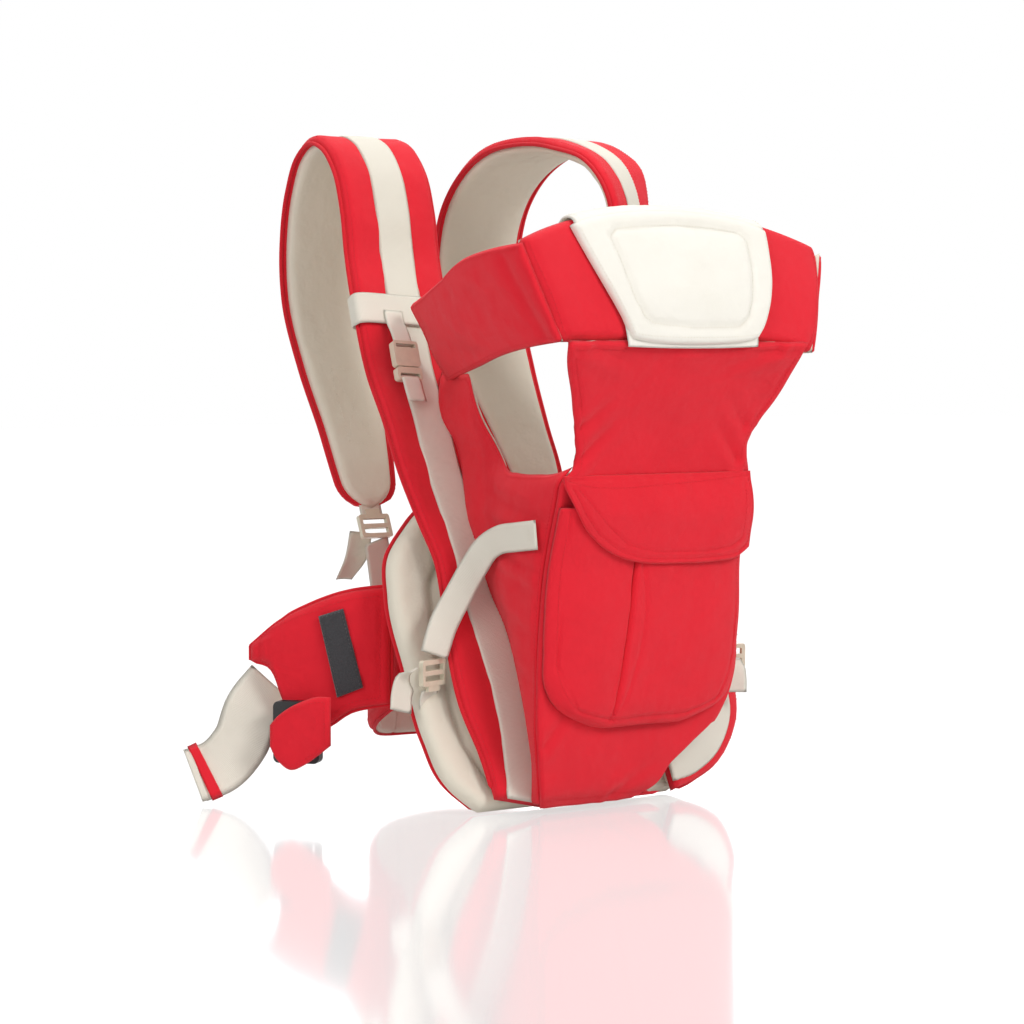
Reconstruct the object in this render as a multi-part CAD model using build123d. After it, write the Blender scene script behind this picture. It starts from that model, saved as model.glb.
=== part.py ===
"""A soft baby carrier worn on the chest: a red front pouch with arm holes and a head rest, a cream-lined seat
panel, two looped shoulder straps, and a padded waist belt.  Millimetres, +Z up, -Y is the pouch's outer face,
+Y is the wearer's side, and left means -X.  Drawn about the pouch, then moved so that the origin is the middle
of the seat panel's bottom edge, which the carrier stands on.
"""
from build123d import *
import math
import os

# ---- driving dimensions -------------------------------------------------------------------------------------
GAP = 0.3                    # clearance between sewn layers
POUCH_HALF_WIDTH = 109       # front panel, at the pocket
NECK_HALF_WIDTH = 88         # front panel, between the arm holes
NECK_Z = 400                 # fold between front panel and head rest
ARM_HOLE_Z = 290             # lowest point of the arm holes
ARM_HOLE_REACH = 0.6         # share of the side panel that the arm hole takes from the front
PANEL_THICKNESS = 4          # front panel
LINING_THICKNESS = 2
HEADREST_THICKNESS = 14
HEADREST_BOTTOM_HALF = 130
HEADREST_TOP_HALF = 159
HEADREST_CORNER_Z = 480
HEADREST_TOP_Z = 512
WING_THICKNESS = 6
SEAT_HALF_WIDTH = 172        # widest point of the seat panel
SEAT_TOP_Z = 268
SEAT_FOAM = 12
STRAP_WIDTH = 100
STRAP_END_WIDTH = 44
STRAP_FOAM = 8
COVER_THICKNESS = 2.5
WEBBING_THICKNESS = 1.5
STRIPE_WIDTH = 36
POCKET_HALF_WIDTH = 102
POCKET_BOTTOM_Z = 73
POCKET_TOP_Z = 262
POCKET_DEPTH = 16
FLAP_BOTTOM_Z = 207
BIB_THICKNESS = 8
BIB_TOP_HALF = 106
BIB_BOTTOM_HALF = 70
BELT_FOAM = 8
BELT_WEBBING = 50
SIDE_WEBBING = 25
KEEPER_HEIGHT = 36
KEEPER_CLEARANCE = 1.5
LOCK_THICKNESS = 4.5
LOCK_BAR = 4
BUCKLE_THICKNESS = 9

STRAP_HALF = STRAP_FOAM / 2
COVER_OUT = STRAP_HALF + GAP + COVER_THICKNESS
STRIPE_OUT = COVER_OUT + GAP + WEBBING_THICKNESS

# ---- curves of the soft parts -------------------------------------------------------------------------------
# Outer face of the front panel, (y, z) from its bottom hem up to the neck fold.
FRONT = [(-3, 4), (-12, 14), (-19, 40), (-22, 75), (-24, 100), (-28, 160), (-31, 213), (-40, 255), (-47, 287),
         (-59, 334), (-76, 370), (-93, NECK_Z)]
# Front face of the seat panel, (y, z) from the floor up.
SEAT = [(18, 0), (44, 45), (68, 94), (90, 145), (110, 213), (126, SEAT_TOP_Z + 10)]
# The seat panel's side edge, (inset from its widest, z).
SEAT_EDGE = [(38, 0), (17, 20), (6, 60), (5, 120), (3, 180), (12, 218), (46, 252), (78, SEAT_TOP_Z)]
# Heights of the side panels' sections.
LEVELS = [45, 94, 145, 213, 280, 332, 372]
# A strap's stations from the hem, over the shoulder, to its lower end: x, y, z, turn about Z, width.
LEFT_STRAP = [
    (-98, 10, 8, 0, 60), (-93, 27, 45, 0, 72), (-90, 45, 94, 0, 96), (-95, 64, 145, 0, 86),
    (-101, 86, 213, 0, 68),
    (-104, 119, 280, 0, 82), (-98, 152, 332, 0, 90), (-94, 178, 372, 0, 96), (-86, 221, 480, 0, STRAP_WIDTH),
    (-84, 231, 520, 0, STRAP_WIDTH), (-83, 246, 556, 0, STRAP_WIDTH), (-83, 264, 575, 0, STRAP_WIDTH),
    (-83, 284, 581, 0, STRAP_WIDTH), (-83, 305, 570, 0, STRAP_WIDTH), (-83, 323, 540, 0, STRAP_WIDTH),
    (-83, 332, 495, 0, STRAP_WIDTH), (-84, 328, 440, 0, STRAP_WIDTH), (-88, 302, 375, 0, 0.9 * STRAP_WIDTH),
    (-93, 273, 321, 0, 0.75 * STRAP_WIDTH), (-97, 250, 275, 0, 0.62 * STRAP_WIDTH),
    (-97, 240, 250, 0, STRAP_END_WIDTH)]
RIGHT_STRAP = [
    (58, 11, 28, 0, 50), (82, 12, 34, 5, 54), (106, 14, 47, 10, 60), (122, 19, 69, 16, 66),
    (125, 30, 100, 20, 80),
    (121, 44, 145, 24, 92), (116, 68, 213, 20, STRAP_WIDTH), (110, 103, 280, 18, STRAP_WIDTH),
    (108, 135, 332, 20, STRAP_WIDTH), (109, 151, 372, 28, STRAP_WIDTH), (108, 148, 400, 32, STRAP_WIDTH),
    (100, 119, 480, 32, STRAP_WIDTH), (98, 112, 520, 34, STRAP_WIDTH), (97, 132, 556, 28, STRAP_WIDTH),
    (96, 168, 575, 18, STRAP_WIDTH), (95, 212, 583, 8, STRAP_WIDTH), (92, 252, 578, 0, STRAP_WIDTH),
    (90, 288, 560, 0, STRAP_WIDTH), (88, 314, 530, 0, STRAP_WIDTH), (86, 325, 490, 0, STRAP_WIDTH),
    (86, 322, 440, 0, STRAP_WIDTH), (90, 300, 375, 0, 0.9 * STRAP_WIDTH),
    (94, 273, 321, 0, 0.75 * STRAP_WIDTH), (98, 250, 275, 0, 0.62 * STRAP_WIDTH),
    (98, 240, 250, 0, STRAP_END_WIDTH)]
KEEPER_SPAN = {-1: (7, 8), 1: (10, 11)}     # the straight stretch of each strap, by station
# A belt wing's stations from the seat panel to its end: x, y, lower z, upper z.
LEFT_WING = [(-147, 135, 84, 188), (-176, 154, 78, 184), (-195, 172.5, 63, 176), (-212, 190, 66, 165),
             (-221, 200, 100, 156), (-228, 208, 118, 148), (-238, 221, 122, 134)]
RIGHT_WING = [(147, 135, 84, 184), (169, 160, 66, 170), (176, 197, 46, 142), (165, 228, 28, 104),
              (149, 246, 22, 80)]
# Head rest wings from the head rest's corner to the strap: lower x, y, z, then upper x, y, z.
LEFT_HEAD_WING = [(-138, -84, 403, -170, -64, 480), (-132, -20, 392, -162, 0, 472),
                  (-112, 54, 377, -142, 66, 450), (-86, 112, 376, -122, 132, 436),
                  (-77, 150, 378, -108, 154, 428)]
RIGHT_HEAD_WING = [(139, -84, 403, 171, -70, 478), (146, -40, 396, 168, -26, 468),
                   (145, 12, 388, 162, 22, 452), (136, 62, 380, 149, 66, 434), (124, 108, 376, 139, 112, 420)]
SEAT_CENTRE_Y = SEAT[0][0] + (2 * GAP + LINING_THICKNESS + SEAT_FOAM + COVER_THICKNESS) / 2


# ---- shape helpers ------------------------------------------------------------------------------------------
def write(name, shape):
    """Moves a sub-part from the drawing to the part's frame and writes it."""
    export_step(Pos(0, -SEAT_CENTRE_Y, 0) * shape, f"parts/{name}.step")


def loft_quads(quads):
    """A closed solid through four-cornered sections, each a list of four points in the same order."""
    faces = [Face(Wire.make_polygon([Vector(*p) for p in quad], close=True)) for quad in quads]
    return Solid.make_loft([face.outer_wire() for face in faces], ruled=True)


def at(curve, z):
    """The y of a (y, z) curve at height z."""
    for (y0, z0), (y1, z1) in zip(curve, curve[1:]):
        if z0 <= z <= z1:
            return y0 + (y1 - y0) * (z - z0) / (z1 - z0)
    return curve[0][0] if z < curve[0][1] else curve[-1][0]


def offset_curve(curve, distance):
    """A (y, z) curve moved sideways: positive towards +Y."""
    moved = []
    for i, (y, z) in enumerate(curve):
        (ya, za), (yb, zb) = curve[max(i - 1, 0)], curve[min(i + 1, len(curve) - 1)]
        length = math.hypot(yb - ya, zb - za)
        moved.append((y + distance * (zb - za) / length, z - distance * (yb - ya) / length))
    return moved


def bent_sheet(curve, low, high, outline):
    """A sheet that follows a (y, z) curve, from offset low to offset high, cut to an (x, z) outline."""
    near, far = offset_curve(curve, low), offset_curve(curve, high)
    with BuildSketch(Plane.YZ) as profile:
        with BuildLine():
            Spline(*near)
            Line(near[-1], far[-1])
            Spline(*far)
            Line(far[0], near[0])
        make_face()
    body = extrude(profile.sketch, amount=400, both=True)
    return body & extrude(outline, amount=600, both=True)


def outline_xz(points, radius=0):
    """A closed (x, z) outline with rounded corners."""
    with BuildSketch(Plane.XZ) as sketch:
        with BuildLine() as line:
            Polyline(*points, close=True)
        make_face()
        if radius:
            fillet(sketch.vertices(), radius)
    return sketch.sketch


def frames(stations):
    """Centre, width direction, outward normal and width at each of a strap's stations."""
    found = []
    for i, (x, y, z, turn, width) in enumerate(stations):
        before, after = stations[max(i - 1, 0)], stations[min(i + 1, len(stations) - 1)]
        along = (Vector(*after[:3]) - Vector(*before[:3])).normalized()
        across = Vector(math.cos(math.radians(turn)), math.sin(math.radians(turn)), 0)
        across = (across - along * across.dot(along)).normalized()
        found.append((Vector(x, y, z), across, across.cross(along).normalized(), width))
    return found


def ribbon(sections, low, high, share=1.0, inset=0.0):
    """A band through (centre, across, normal, width) sections, between two offsets along their normals."""
    quads = []
    for centre, across, normal, width in sections:
        half = across * (width * share / 2 - inset)
        quads.append([centre - half + normal * low, centre + half + normal * low,
                      centre + half + normal * high, centre - half + normal * high])
    return loft_quads(quads)


def upright(stations, low, high, inset=0.0):
    """A band of upright cloth through (x, y, lower z, upper z) stations, offset outwards from low to high."""
    centre = sum(abs(s[0]) for s in stations) / len(stations) * (1 if stations[0][0] > 0 else -1)
    side = 1 if centre > 0 else -1
    quads = []
    for i, (x, y, bottom, top) in enumerate(stations):
        before, after = stations[max(i - 1, 0)], stations[min(i + 1, len(stations) - 1)]
        along = Vector(after[0] - before[0], after[1] - before[1], 0).normalized()
        out = Vector(along.Y, -along.X, 0) * side
        quads.append([Vector(x, y, bottom + inset) + out * low, Vector(x, y, top - inset) + out * low,
                      Vector(x, y, top - inset) + out * high, Vector(x, y, bottom + inset) + out * high])
    return loft_quads(quads)


def path_sections(points, across, width):
    """Sections of a webbing along points, with one width direction for each point."""
    sections = []
    for i, (point, wide) in enumerate(zip(points, across)):
        before, after = points[max(i - 1, 0)], points[min(i + 1, len(points) - 1)]
        along = (Vector(*after) - Vector(*before)).normalized()
        wide = Vector(*wide)
        wide = (wide - along * wide.dot(along)).normalized()
        sections.append((Vector(*point), wide, wide.cross(along).normalized(), width))
    return sections


def webbing(points, across, width):
    """A flat webbing along hand-chosen points."""
    return ribbon(path_sections(points, across, width), -WEBBING_THICKNESS / 2, WEBBING_THICKNESS / 2)


def ladder_lock(width):
    """A slotted adjuster in its own frame: X along its bars, Y along the webbing, Z through its thickness."""
    length = 3 * LOCK_BAR + 2 * 5
    body = extrude(RectangleRounded(width + 2 * LOCK_BAR, length, 2.5), amount=LOCK_THICKNESS / 2, both=True)
    for side in (-1, 1):
        body -= Pos(0, side * (LOCK_BAR / 2 + 2.5), 0) * Box(width + 1, 5, 2 * LOCK_THICKNESS)
    lip = Pos(0, -length / 2 - 2, 0) * Box(width * 0.6, 6, LOCK_THICKNESS * 0.7)
    return body + lip


# ---- sub-parts ----------------------------------------------------------------------------------------------
def seat_panel():
    """The panel behind the baby: cream lining, foam and red cover, wide at the thighs."""
    half = SEAT_HALF_WIDTH
    with BuildSketch(Plane.XZ) as outline:
        with BuildLine():
            right = Spline(*[(half - inset, z) for inset, z in SEAT_EDGE])
            left = Spline(*[(inset - half, z) for inset, z in SEAT_EDGE])
            Line(right @ 0, left @ 0)
            Line(right @ 1, left @ 1)
        make_face()
    foam_low = LINING_THICKNESS + GAP
    cover_low = foam_low + SEAT_FOAM + GAP
    write("seat_lining", bent_sheet(SEAT, 0, LINING_THICKNESS, outline.sketch))
    write("seat_foam", bent_sheet(SEAT, foam_low, foam_low + SEAT_FOAM, outline.sketch))
    write("seat_cover", bent_sheet(SEAT, cover_low, cover_low + COVER_THICKNESS, outline.sketch))


def front_outline(grow=0.0):
    """The front panel's (x, z) outline: cut away at the lower right, waisted at the arm holes."""
    w, n = POUCH_HALF_WIDTH - grow, NECK_HALF_WIDTH - grow
    edge = [(w, ARM_HOLE_Z - 24), (n, ARM_HOLE_Z + 2), (n + 6, 314), (n + 21, 348), (n + 36, 388),
            (HEADREST_BOTTOM_HALF - grow, NECK_Z + 6)]
    left = [(-x, z) for x, z in reversed(edge)]
    corner = [(6, 0), (28, 16), (64, 48), (w - 22, 68), (w - 8, 84), (w, 106)]
    return outline_xz([(-w + 14, 0)] + corner + edge + left + [(-w, 40)], 2)


def front_panel():
    """The pouch's red face and its cream lining."""
    write("front_panel", bent_sheet(FRONT, 0, PANEL_THICKNESS, front_outline()))
    low = PANEL_THICKNESS + GAP
    write("front_lining", bent_sheet(FRONT[1:], low, low + LINING_THICKNESS, front_outline(4)))


def strap(side, name):
    """One shoulder strap: cover, foam, lining and the webbing stripe down its middle."""
    sections = frames(LEFT_STRAP if side < 0 else RIGHT_STRAP)
    lining_low = -STRAP_HALF - GAP - LINING_THICKNESS
    write(f"{name}_strap_foam", ribbon(sections, -STRAP_HALF, STRAP_HALF, inset=4))
    write(f"{name}_strap_cover", ribbon(sections, STRAP_HALF + GAP, COVER_OUT))
    write(f"{name}_strap_lining", ribbon(sections, lining_low, -STRAP_HALF - GAP, inset=1))
    stripe = [(c, a, n, min(STRIPE_WIDTH, w - 20)) for c, a, n, w in sections]
    write(f"{name}_strap_stripe", ribbon(stripe, COVER_OUT + GAP, STRIPE_OUT))


def strap_face(side, z, inward):
    """A point on a strap's outer face at height z, a distance inward of its middle."""
    sections = frames(LEFT_STRAP if side < 0 else RIGHT_STRAP)
    lift = STRIPE_OUT + (2 if side < 0 else 5)
    rows = [c + a * (-side * inward) + n * lift for c, a, n, w in sections[:10]]
    for low, high in zip(rows, rows[1:]):
        if low.Z <= z <= high.Z:
            return low + (high - low) * ((z - low.Z) / (high.Z - low.Z))
    return rows[0]


def side_panel(side, name):
    """The gusset from the front panel's edge back to the strap, with the arm hole's lower and rear edges."""
    hem_gap = PANEL_THICKNESS + 2 * GAP + LINING_THICKNESS + 1
    thick = 2.5
    low, high = [], []
    for z in LEVELS if side < 0 else LEVELS[1:]:
        inset = 4 if side < 0 or z > LEVELS[1] else 10
        rear = strap_face(side, z, STRIPE_WIDTH / 2 + (4 if side < 0 else 14))
        front = Vector(side * (POUCH_HALF_WIDTH - inset), at(FRONT, z) + hem_gap, z)
        if z < ARM_HOLE_Z:
            low.append((front, rear, z))
        else:
            reach = ARM_HOLE_REACH + 0.2 * (z - ARM_HOLE_Z) / (NECK_Z - ARM_HOLE_Z)
            high.append((front + (rear - front) * reach, rear, z))
    high.insert(0, (low[-1][0] + (low[-1][1] - low[-1][0]) * ARM_HOLE_REACH, low[-1][1], low[-1][2]))

    def quad(front, rear, z):
        inner = -side * thick
        return [(front.X, front.Y, z), (rear.X, rear.Y, z), (rear.X + inner, rear.Y, z),
                (front.X + inner, front.Y, z)]
    lower, upper = (loft_quads([quad(*row) for row in rows]) for rows in (low, high))
    write(f"{name}_side_panel", lower + upper)


def pocket():
    """The pouch on the front panel: a tray of cloth open at its top, and its flap."""
    w = POCKET_HALF_WIDTH

    def shape(grow, top):
        return outline_xz([(-w + grow, POCKET_BOTTOM_Z + 40), (-w + 44, POCKET_BOTTOM_Z + grow),
                           (w - 44, POCKET_BOTTOM_Z + grow), (w - grow, POCKET_BOTTOM_Z + 40), (w - grow, top),
                           (-w + grow, top)], 3)
    outer = bent_sheet(FRONT, -POCKET_DEPTH, -GAP, shape(0, POCKET_TOP_Z))
    inner = bent_sheet(FRONT, -POCKET_DEPTH + COVER_THICKNESS, 1, shape(4, POCKET_TOP_Z + 40))
    write("pocket", outer - inner)
    y_low = at(FRONT, FLAP_BOTTOM_Z) - POCKET_DEPTH - 1.2
    y_rim = at(FRONT, POCKET_TOP_Z) - POCKET_DEPTH - 1.2
    y_seam = at(FRONT, ARM_HOLE_Z) - GAP - COVER_THICKNESS - 1
    curve = [(y_low, FLAP_BOTTOM_Z), (y_rim + 5, POCKET_TOP_Z - 30), (y_rim, POCKET_TOP_Z),
             (y_rim + 4, POCKET_TOP_Z + 14), (y_seam, ARM_HOLE_Z - 2)]
    with BuildSketch(Plane.XZ) as outline:
        with BuildLine():
            Line((w - 10, ARM_HOLE_Z + 20), (10 - w, ARM_HOLE_Z + 20))
            Spline((10 - w, ARM_HOLE_Z + 20), (-w - 1, POCKET_TOP_Z - 6), (-w * 0.72, FLAP_BOTTOM_Z + 16),
                   (0, FLAP_BOTTOM_Z + 1), (w * 0.72, FLAP_BOTTOM_Z + 16), (w + 1, POCKET_TOP_Z - 6),
                   (w - 10, ARM_HOLE_Z + 20))
        make_face()
    write("pocket_flap", bent_sheet(curve, -COVER_THICKNESS, 0, outline.sketch))
    tape = outline_xz([(-22, 212), (22, 212), (22, 230), (-22, 230)], 2)
    write("flap_hook_tape", bent_sheet(curve, 0.05, 0.5, tape))


def head_rest():
    """The padded head rest above the neck fold, its lining, and the bib that hangs over it."""
    curve = [(-93, NECK_Z), (-88, 430), (-76, 470), (-60, HEADREST_TOP_Z)]
    b, t = HEADREST_BOTTOM_HALF, HEADREST_TOP_HALF
    with BuildSketch(Plane.XZ) as outline:
        with BuildLine():
            Line((-b, NECK_Z + 4), (b, NECK_Z + 4))
            Line((b, NECK_Z + 4), (t, HEADREST_CORNER_Z))
            Spline((t, HEADREST_CORNER_Z), (0, HEADREST_TOP_Z), (-t, HEADREST_CORNER_Z))
            Line((-t, HEADREST_CORNER_Z), (-b, NECK_Z + 4))
        make_face()
    write("head_rest_pad", bent_sheet(curve, 0, HEADREST_THICKNESS, outline.sketch))
    low = HEADREST_THICKNESS + GAP
    write("head_rest_lining", bent_sheet(curve, low, low + LINING_THICKNESS, outline.sketch))
    hem = NECK_Z + 3
    bib = outline_xz([(-BIB_BOTTOM_HALF, hem), (BIB_BOTTOM_HALF, hem), (BIB_TOP_HALF, HEADREST_TOP_Z - 14),
                      (BIB_TOP_HALF - 10, HEADREST_TOP_Z - 4), (10 - BIB_TOP_HALF, HEADREST_TOP_Z - 4),
                      (-BIB_TOP_HALF, HEADREST_TOP_Z - 14)], 3)
    write("drool_bib", bent_sheet(curve, -BIB_THICKNESS - 1, -1, bib))
    back = outline_xz([(-80, 452), (80, 452), (80, 492), (-80, 492)], 4)
    low += LINING_THICKNESS + GAP
    write("bib_back_tab", bent_sheet(curve, low, low + LINING_THICKNESS, back))
    for name, rows in (("left", LEFT_HEAD_WING), ("right", RIGHT_HEAD_WING)):
        quads = []
        for i, (x0, y0, z0, x1, y1, z1) in enumerate(rows):
            a, c = rows[max(i - 1, 0)], rows[min(i + 1, len(rows) - 1)]
            along = Vector(c[0] - a[0], c[1] - a[1], 0).normalized()
            in_ = Vector(along.Y, -along.X, 0) * (WING_THICKNESS if name == "left" else -WING_THICKNESS)
            low_point, high_point = Vector(x0, y0, z0), Vector(x1, y1, z1)
            quads.append([low_point, high_point, high_point + in_, low_point + in_])
        write(f"{name}_head_wing", loft_quads(quads))


def keeper(side, name):
    """The webbing loop that slides on the strap and holds the head rest's wing."""
    stations = LEFT_STRAP if side < 0 else RIGHT_STRAP
    low, high = (Vector(*stations[i][:3]) for i in KEEPER_SPAN[side])
    turn = stations[KEEPER_SPAN[side][1]][3]
    along = (high - low).normalized()
    across = Vector(math.cos(math.radians(turn)), math.sin(math.radians(turn)), 0)
    across = (across - along * across.dot(along)).normalized()
    normal = across.cross(along).normalized()
    centre = low + (high - low) * 0.48
    frame = Plane(origin=centre, x_dir=across, z_dir=along)
    back = STRAP_HALF + GAP + LINING_THICKNESS + KEEPER_CLEARANCE
    front = STRIPE_OUT + KEEPER_CLEARANCE
    mid = (front - back) / 2
    inside = (STRAP_WIDTH + 2 * KEEPER_CLEARANCE, front + back)
    sign = 1 if frame.y_dir.dot(normal) > 0 else -1
    ring = Box(inside[0] + 2 * WEBBING_THICKNESS, inside[1] + 2 * WEBBING_THICKNESS, KEEPER_HEIGHT)
    ring -= Box(inside[0], inside[1], KEEPER_HEIGHT + 2)
    write(f"{name}_keeper_loop", frame.location * Pos(0, sign * mid, 0) * ring)
    return centre, across, normal, along, front + WEBBING_THICKNESS


def wing_buckle(side, name, place):
    """The two-part clip between the keeper loop and the head rest's wing, clipped together."""
    centre, across, normal, along, out = place
    lift = 7 if side < 0 else 14
    frame = Plane(origin=centre + normal * (out + lift) - along * 46 + across * (18 * side), x_dir=across,
                  z_dir=normal)
    female = fillet(Box(26, 24, 7).edges().filter_by(Axis.Z), 3)
    female -= Pos(0, -6, 0) * Box(20, 13.5, 4.4)
    female -= Pos(0, 7.5, 0) * Box(20.6, 3.6, 12)
    male = Pos(0, -19, 0) * fillet(Box(26, 12, 7).edges().filter_by(Axis.Z), 3)
    male -= Pos(0, -20.5, 0) * Box(20.6, 3.6, 12)
    male += Pos(0, -10, 0) * Box(6, 10, 3.4)
    for prong in (-1, 1):
        male += Pos(prong * 7.5, -8, 0) * Box(3.2, 14, 3.4)
    write(f"{name}_wing_buckle_socket", frame.location * female)
    write(f"{name}_wing_buckle_plug", frame.location * male)


def belt(side, name):
    """One wing of the waist belt with its foam and lining."""
    stations = LEFT_WING if side < 0 else RIGHT_WING
    half = BELT_FOAM / 2
    write(f"{name}_belt_foam", upright(stations, -half, half, inset=4))
    write(f"{name}_belt_cover", upright(stations, half + GAP, half + GAP + COVER_THICKNESS))
    write(f"{name}_belt_lining", upright(stations, -half - GAP - LINING_THICKNESS, -half - GAP, inset=1))


def belt_centre():
    """The lumbar part of the belt, which bows out behind the seat panel between the two wings."""
    near = [(-130, 137, 88, 186), (-124, 190, 62, 160), (-92, 236, 44, 140), (-40, 262, 38, 132)]
    far = [(-x, y, low, high) for x, y, low, high in reversed(near)]
    write("belt_centre_pad", upright(near + far, -BELT_FOAM / 2 - 2, BELT_FOAM / 2 + 2))


def belt_webbing(name, points, wide, sleeve_at):
    """The waist webbing and the folded red sleeve on its end."""
    write(f"{name}_belt_webbing", webbing(points, wide, BELT_WEBBING))
    (a, b), w = sleeve_at, wide[-1]
    beyond = (Vector(*b) - Vector(*a)) * 0.5
    long = [tuple(Vector(*a) - beyond), tuple(Vector(*b) + beyond)]
    outer = ribbon(path_sections([a, b], [w] * 2, BELT_WEBBING + 5), -3.4, 3.4)
    write(f"{name}_webbing_sleeve", outer - ribbon(path_sections(long, [w] * 2, BELT_WEBBING + 1), -1.3, 1.3))


def waist_buckle(origin, along, out):
    """The waist clip's socket: a hollow body with side windows and a slotted bar for the webbing."""
    frame = Plane(origin=origin, x_dir=along, z_dir=out)
    body = fillet(Box(42, 54, 11).edges().filter_by(Axis.Z), 5)
    body -= Pos(8, 0, 0) * Box(30, 42, 7)
    body -= Pos(-14, 0, 0) * Box(5, 46, 20)
    for side in (-1, 1):
        body -= Pos(8, side * 25, 0) * Box(14, 8, 7)
    return frame.location * body


def waist_plug(origin, along, out):
    """The waist clip's two-pronged plug with its webbing bar."""
    frame = Plane(origin=origin, x_dir=along, z_dir=out)
    body = fillet(Box(18, 54, 10).edges().filter_by(Axis.Z), 4) - Box(5, 46, 20)
    body += Pos(19, 0, 0) * Box(22, 8, 5)
    for side in (-1, 1):
        body += Pos(20, side * 16, 0) * Box(24, 5, 5.5)
        body += Pos(27, side * 20, 0) * Box(10, 6, 5.5)
    return frame.location * body


def belt_trim():
    """The belt ends: black loop tape, webbing tails with folded red ends, the clip and its guard."""
    half = BELT_FOAM / 2 + GAP + COVER_THICKNESS
    patch = [(-182.5, 160.2, 96, 168), (-196, 173.2, 90, 163)]
    write("belt_loop_tape", upright(patch, half + GAP, half + GAP + 1.2))
    flat, turned = (0.5, -0.643, -0.58), (0.715, -0.536, -0.485)
    belt_webbing("left", [(-238, 205, 110), (-246, 214, 87), (-264, 222, 50), (-281, 228, 21)],
                 [flat, flat, turned, turned], [(-276, 226.2, 29.85), (-285, 229.4, 14.55)])
    end = Vector(188, 262, 45)
    points = [(170, 246, 96), (177, 255, 71), tuple(end)]
    write("right_belt_webbing", webbing(points, [(0.7, -0.5, 0.5)] * 3, BELT_WEBBING))
    along = (end - Vector(*points[1])).normalized()
    wide = Vector(0.7, -0.5, 0.5)
    wide = (wide - along * wide.dot(along)).normalized()
    write("waist_buckle_plug", waist_plug(end + along * 10.5, along, along.cross(wide)))
    write("buckle_guard", upright([(-214, 152, 36, 92), (-236, 182, 32, 94)], 2, 7))
    along, out = (-0.62, 0.785, 0), (-0.785, -0.62, 0)
    write("waist_buckle_socket", waist_buckle((-218, 175.9, 61), along, out))


def strap_end(side, name):
    """The ladder lock at a shoulder strap's lower end, its webbing down to the belt, and the loose tail."""
    centre, across, normal, width = frames(LEFT_STRAP if side < 0 else RIGHT_STRAP)[-1]
    along = across.cross(normal).normalized()
    along = along if along.Z < 0 else along * -1
    frame = Plane(origin=centre + along * 17.5, x_dir=across, z_dir=normal)
    write(f"{name}_strap_lock", frame.location * ladder_lock(SIDE_WEBBING))
    x = side
    points = [(x * 66, 260, 104), (x * 68, 259, 132), (x * 80, 246, 175), (x * 97, 229, 220)]
    write(f"{name}_strap_webbing", webbing(points, [(1, x * -0.45, 0)] * 2 + [(1, 0, 0)] * 2, SIDE_WEBBING))
    tail = [(x * 103, 247, 228), (x * 106, 250, 206), (x * 112, 262, 184)]
    write(f"{name}_strap_tail", webbing(tail, [(1, 0, 0), (1, 0, 0), (0.9, 0.3, 0)], SIDE_WEBBING))


def side_adjuster(side, name):
    """The webbing from the pouch's side to a ladder lock on the seat panel's edge, and its loose tail."""
    if side < 0:
        points = [(-101, 2, 234), (-108, 24, 226), (-117, 42, 208), (-131, 48, 186), (-147, 54, 160),
                  (-157, 57, 135)]
        lock, tail = (-157, 59, 119), [(-176, 64, 118), (-186, 62, 106), (-191, 58, 88)]
    else:
        points = [(105, 2, 234), (111, 12, 226), (118, 22, 208), (125, 28, 186), (131, 25, 160), (136, 16, 135)]
        lock, tail = (136, 14, 119), [(134, 4, 117), (132, -1, 104), (131, -2, 88)]
    x = -side
    wide = [(0, 0, 1), (0, 0.1, 1), (0.2 * x, 0.5, 0.8), (0.3 * x, 0.9, 0.3), (0.3 * x, 0.95, 0),
            (0.95, 0.3 * x, 0)]
    write(f"{name}_side_webbing", webbing(points, wide, SIDE_WEBBING))
    frame = Plane(origin=lock, x_dir=(0.95, 0.3 * x, 0), z_dir=(0.3 * x, -0.95, 0))
    write(f"{name}_side_lock", frame.location * ladder_lock(SIDE_WEBBING))
    write(f"{name}_side_tail", webbing(tail, [(0.8, 0.2 * x, 0.5 * x)] * 3, SIDE_WEBBING))


def main():
    os.makedirs("parts", exist_ok=True)
    seat_panel()
    front_panel()
    pocket()
    head_rest()
    belt_centre()
    for side, name in ((-1, "left"), (1, "right")):
        strap(side, name)
        side_panel(side, name)
        place = keeper(side, name)
        wing_buckle(side, name, place)
        belt(side, name)
        strap_end(side, name)
        side_adjuster(side, name)
    belt_trim()


main()
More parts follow.
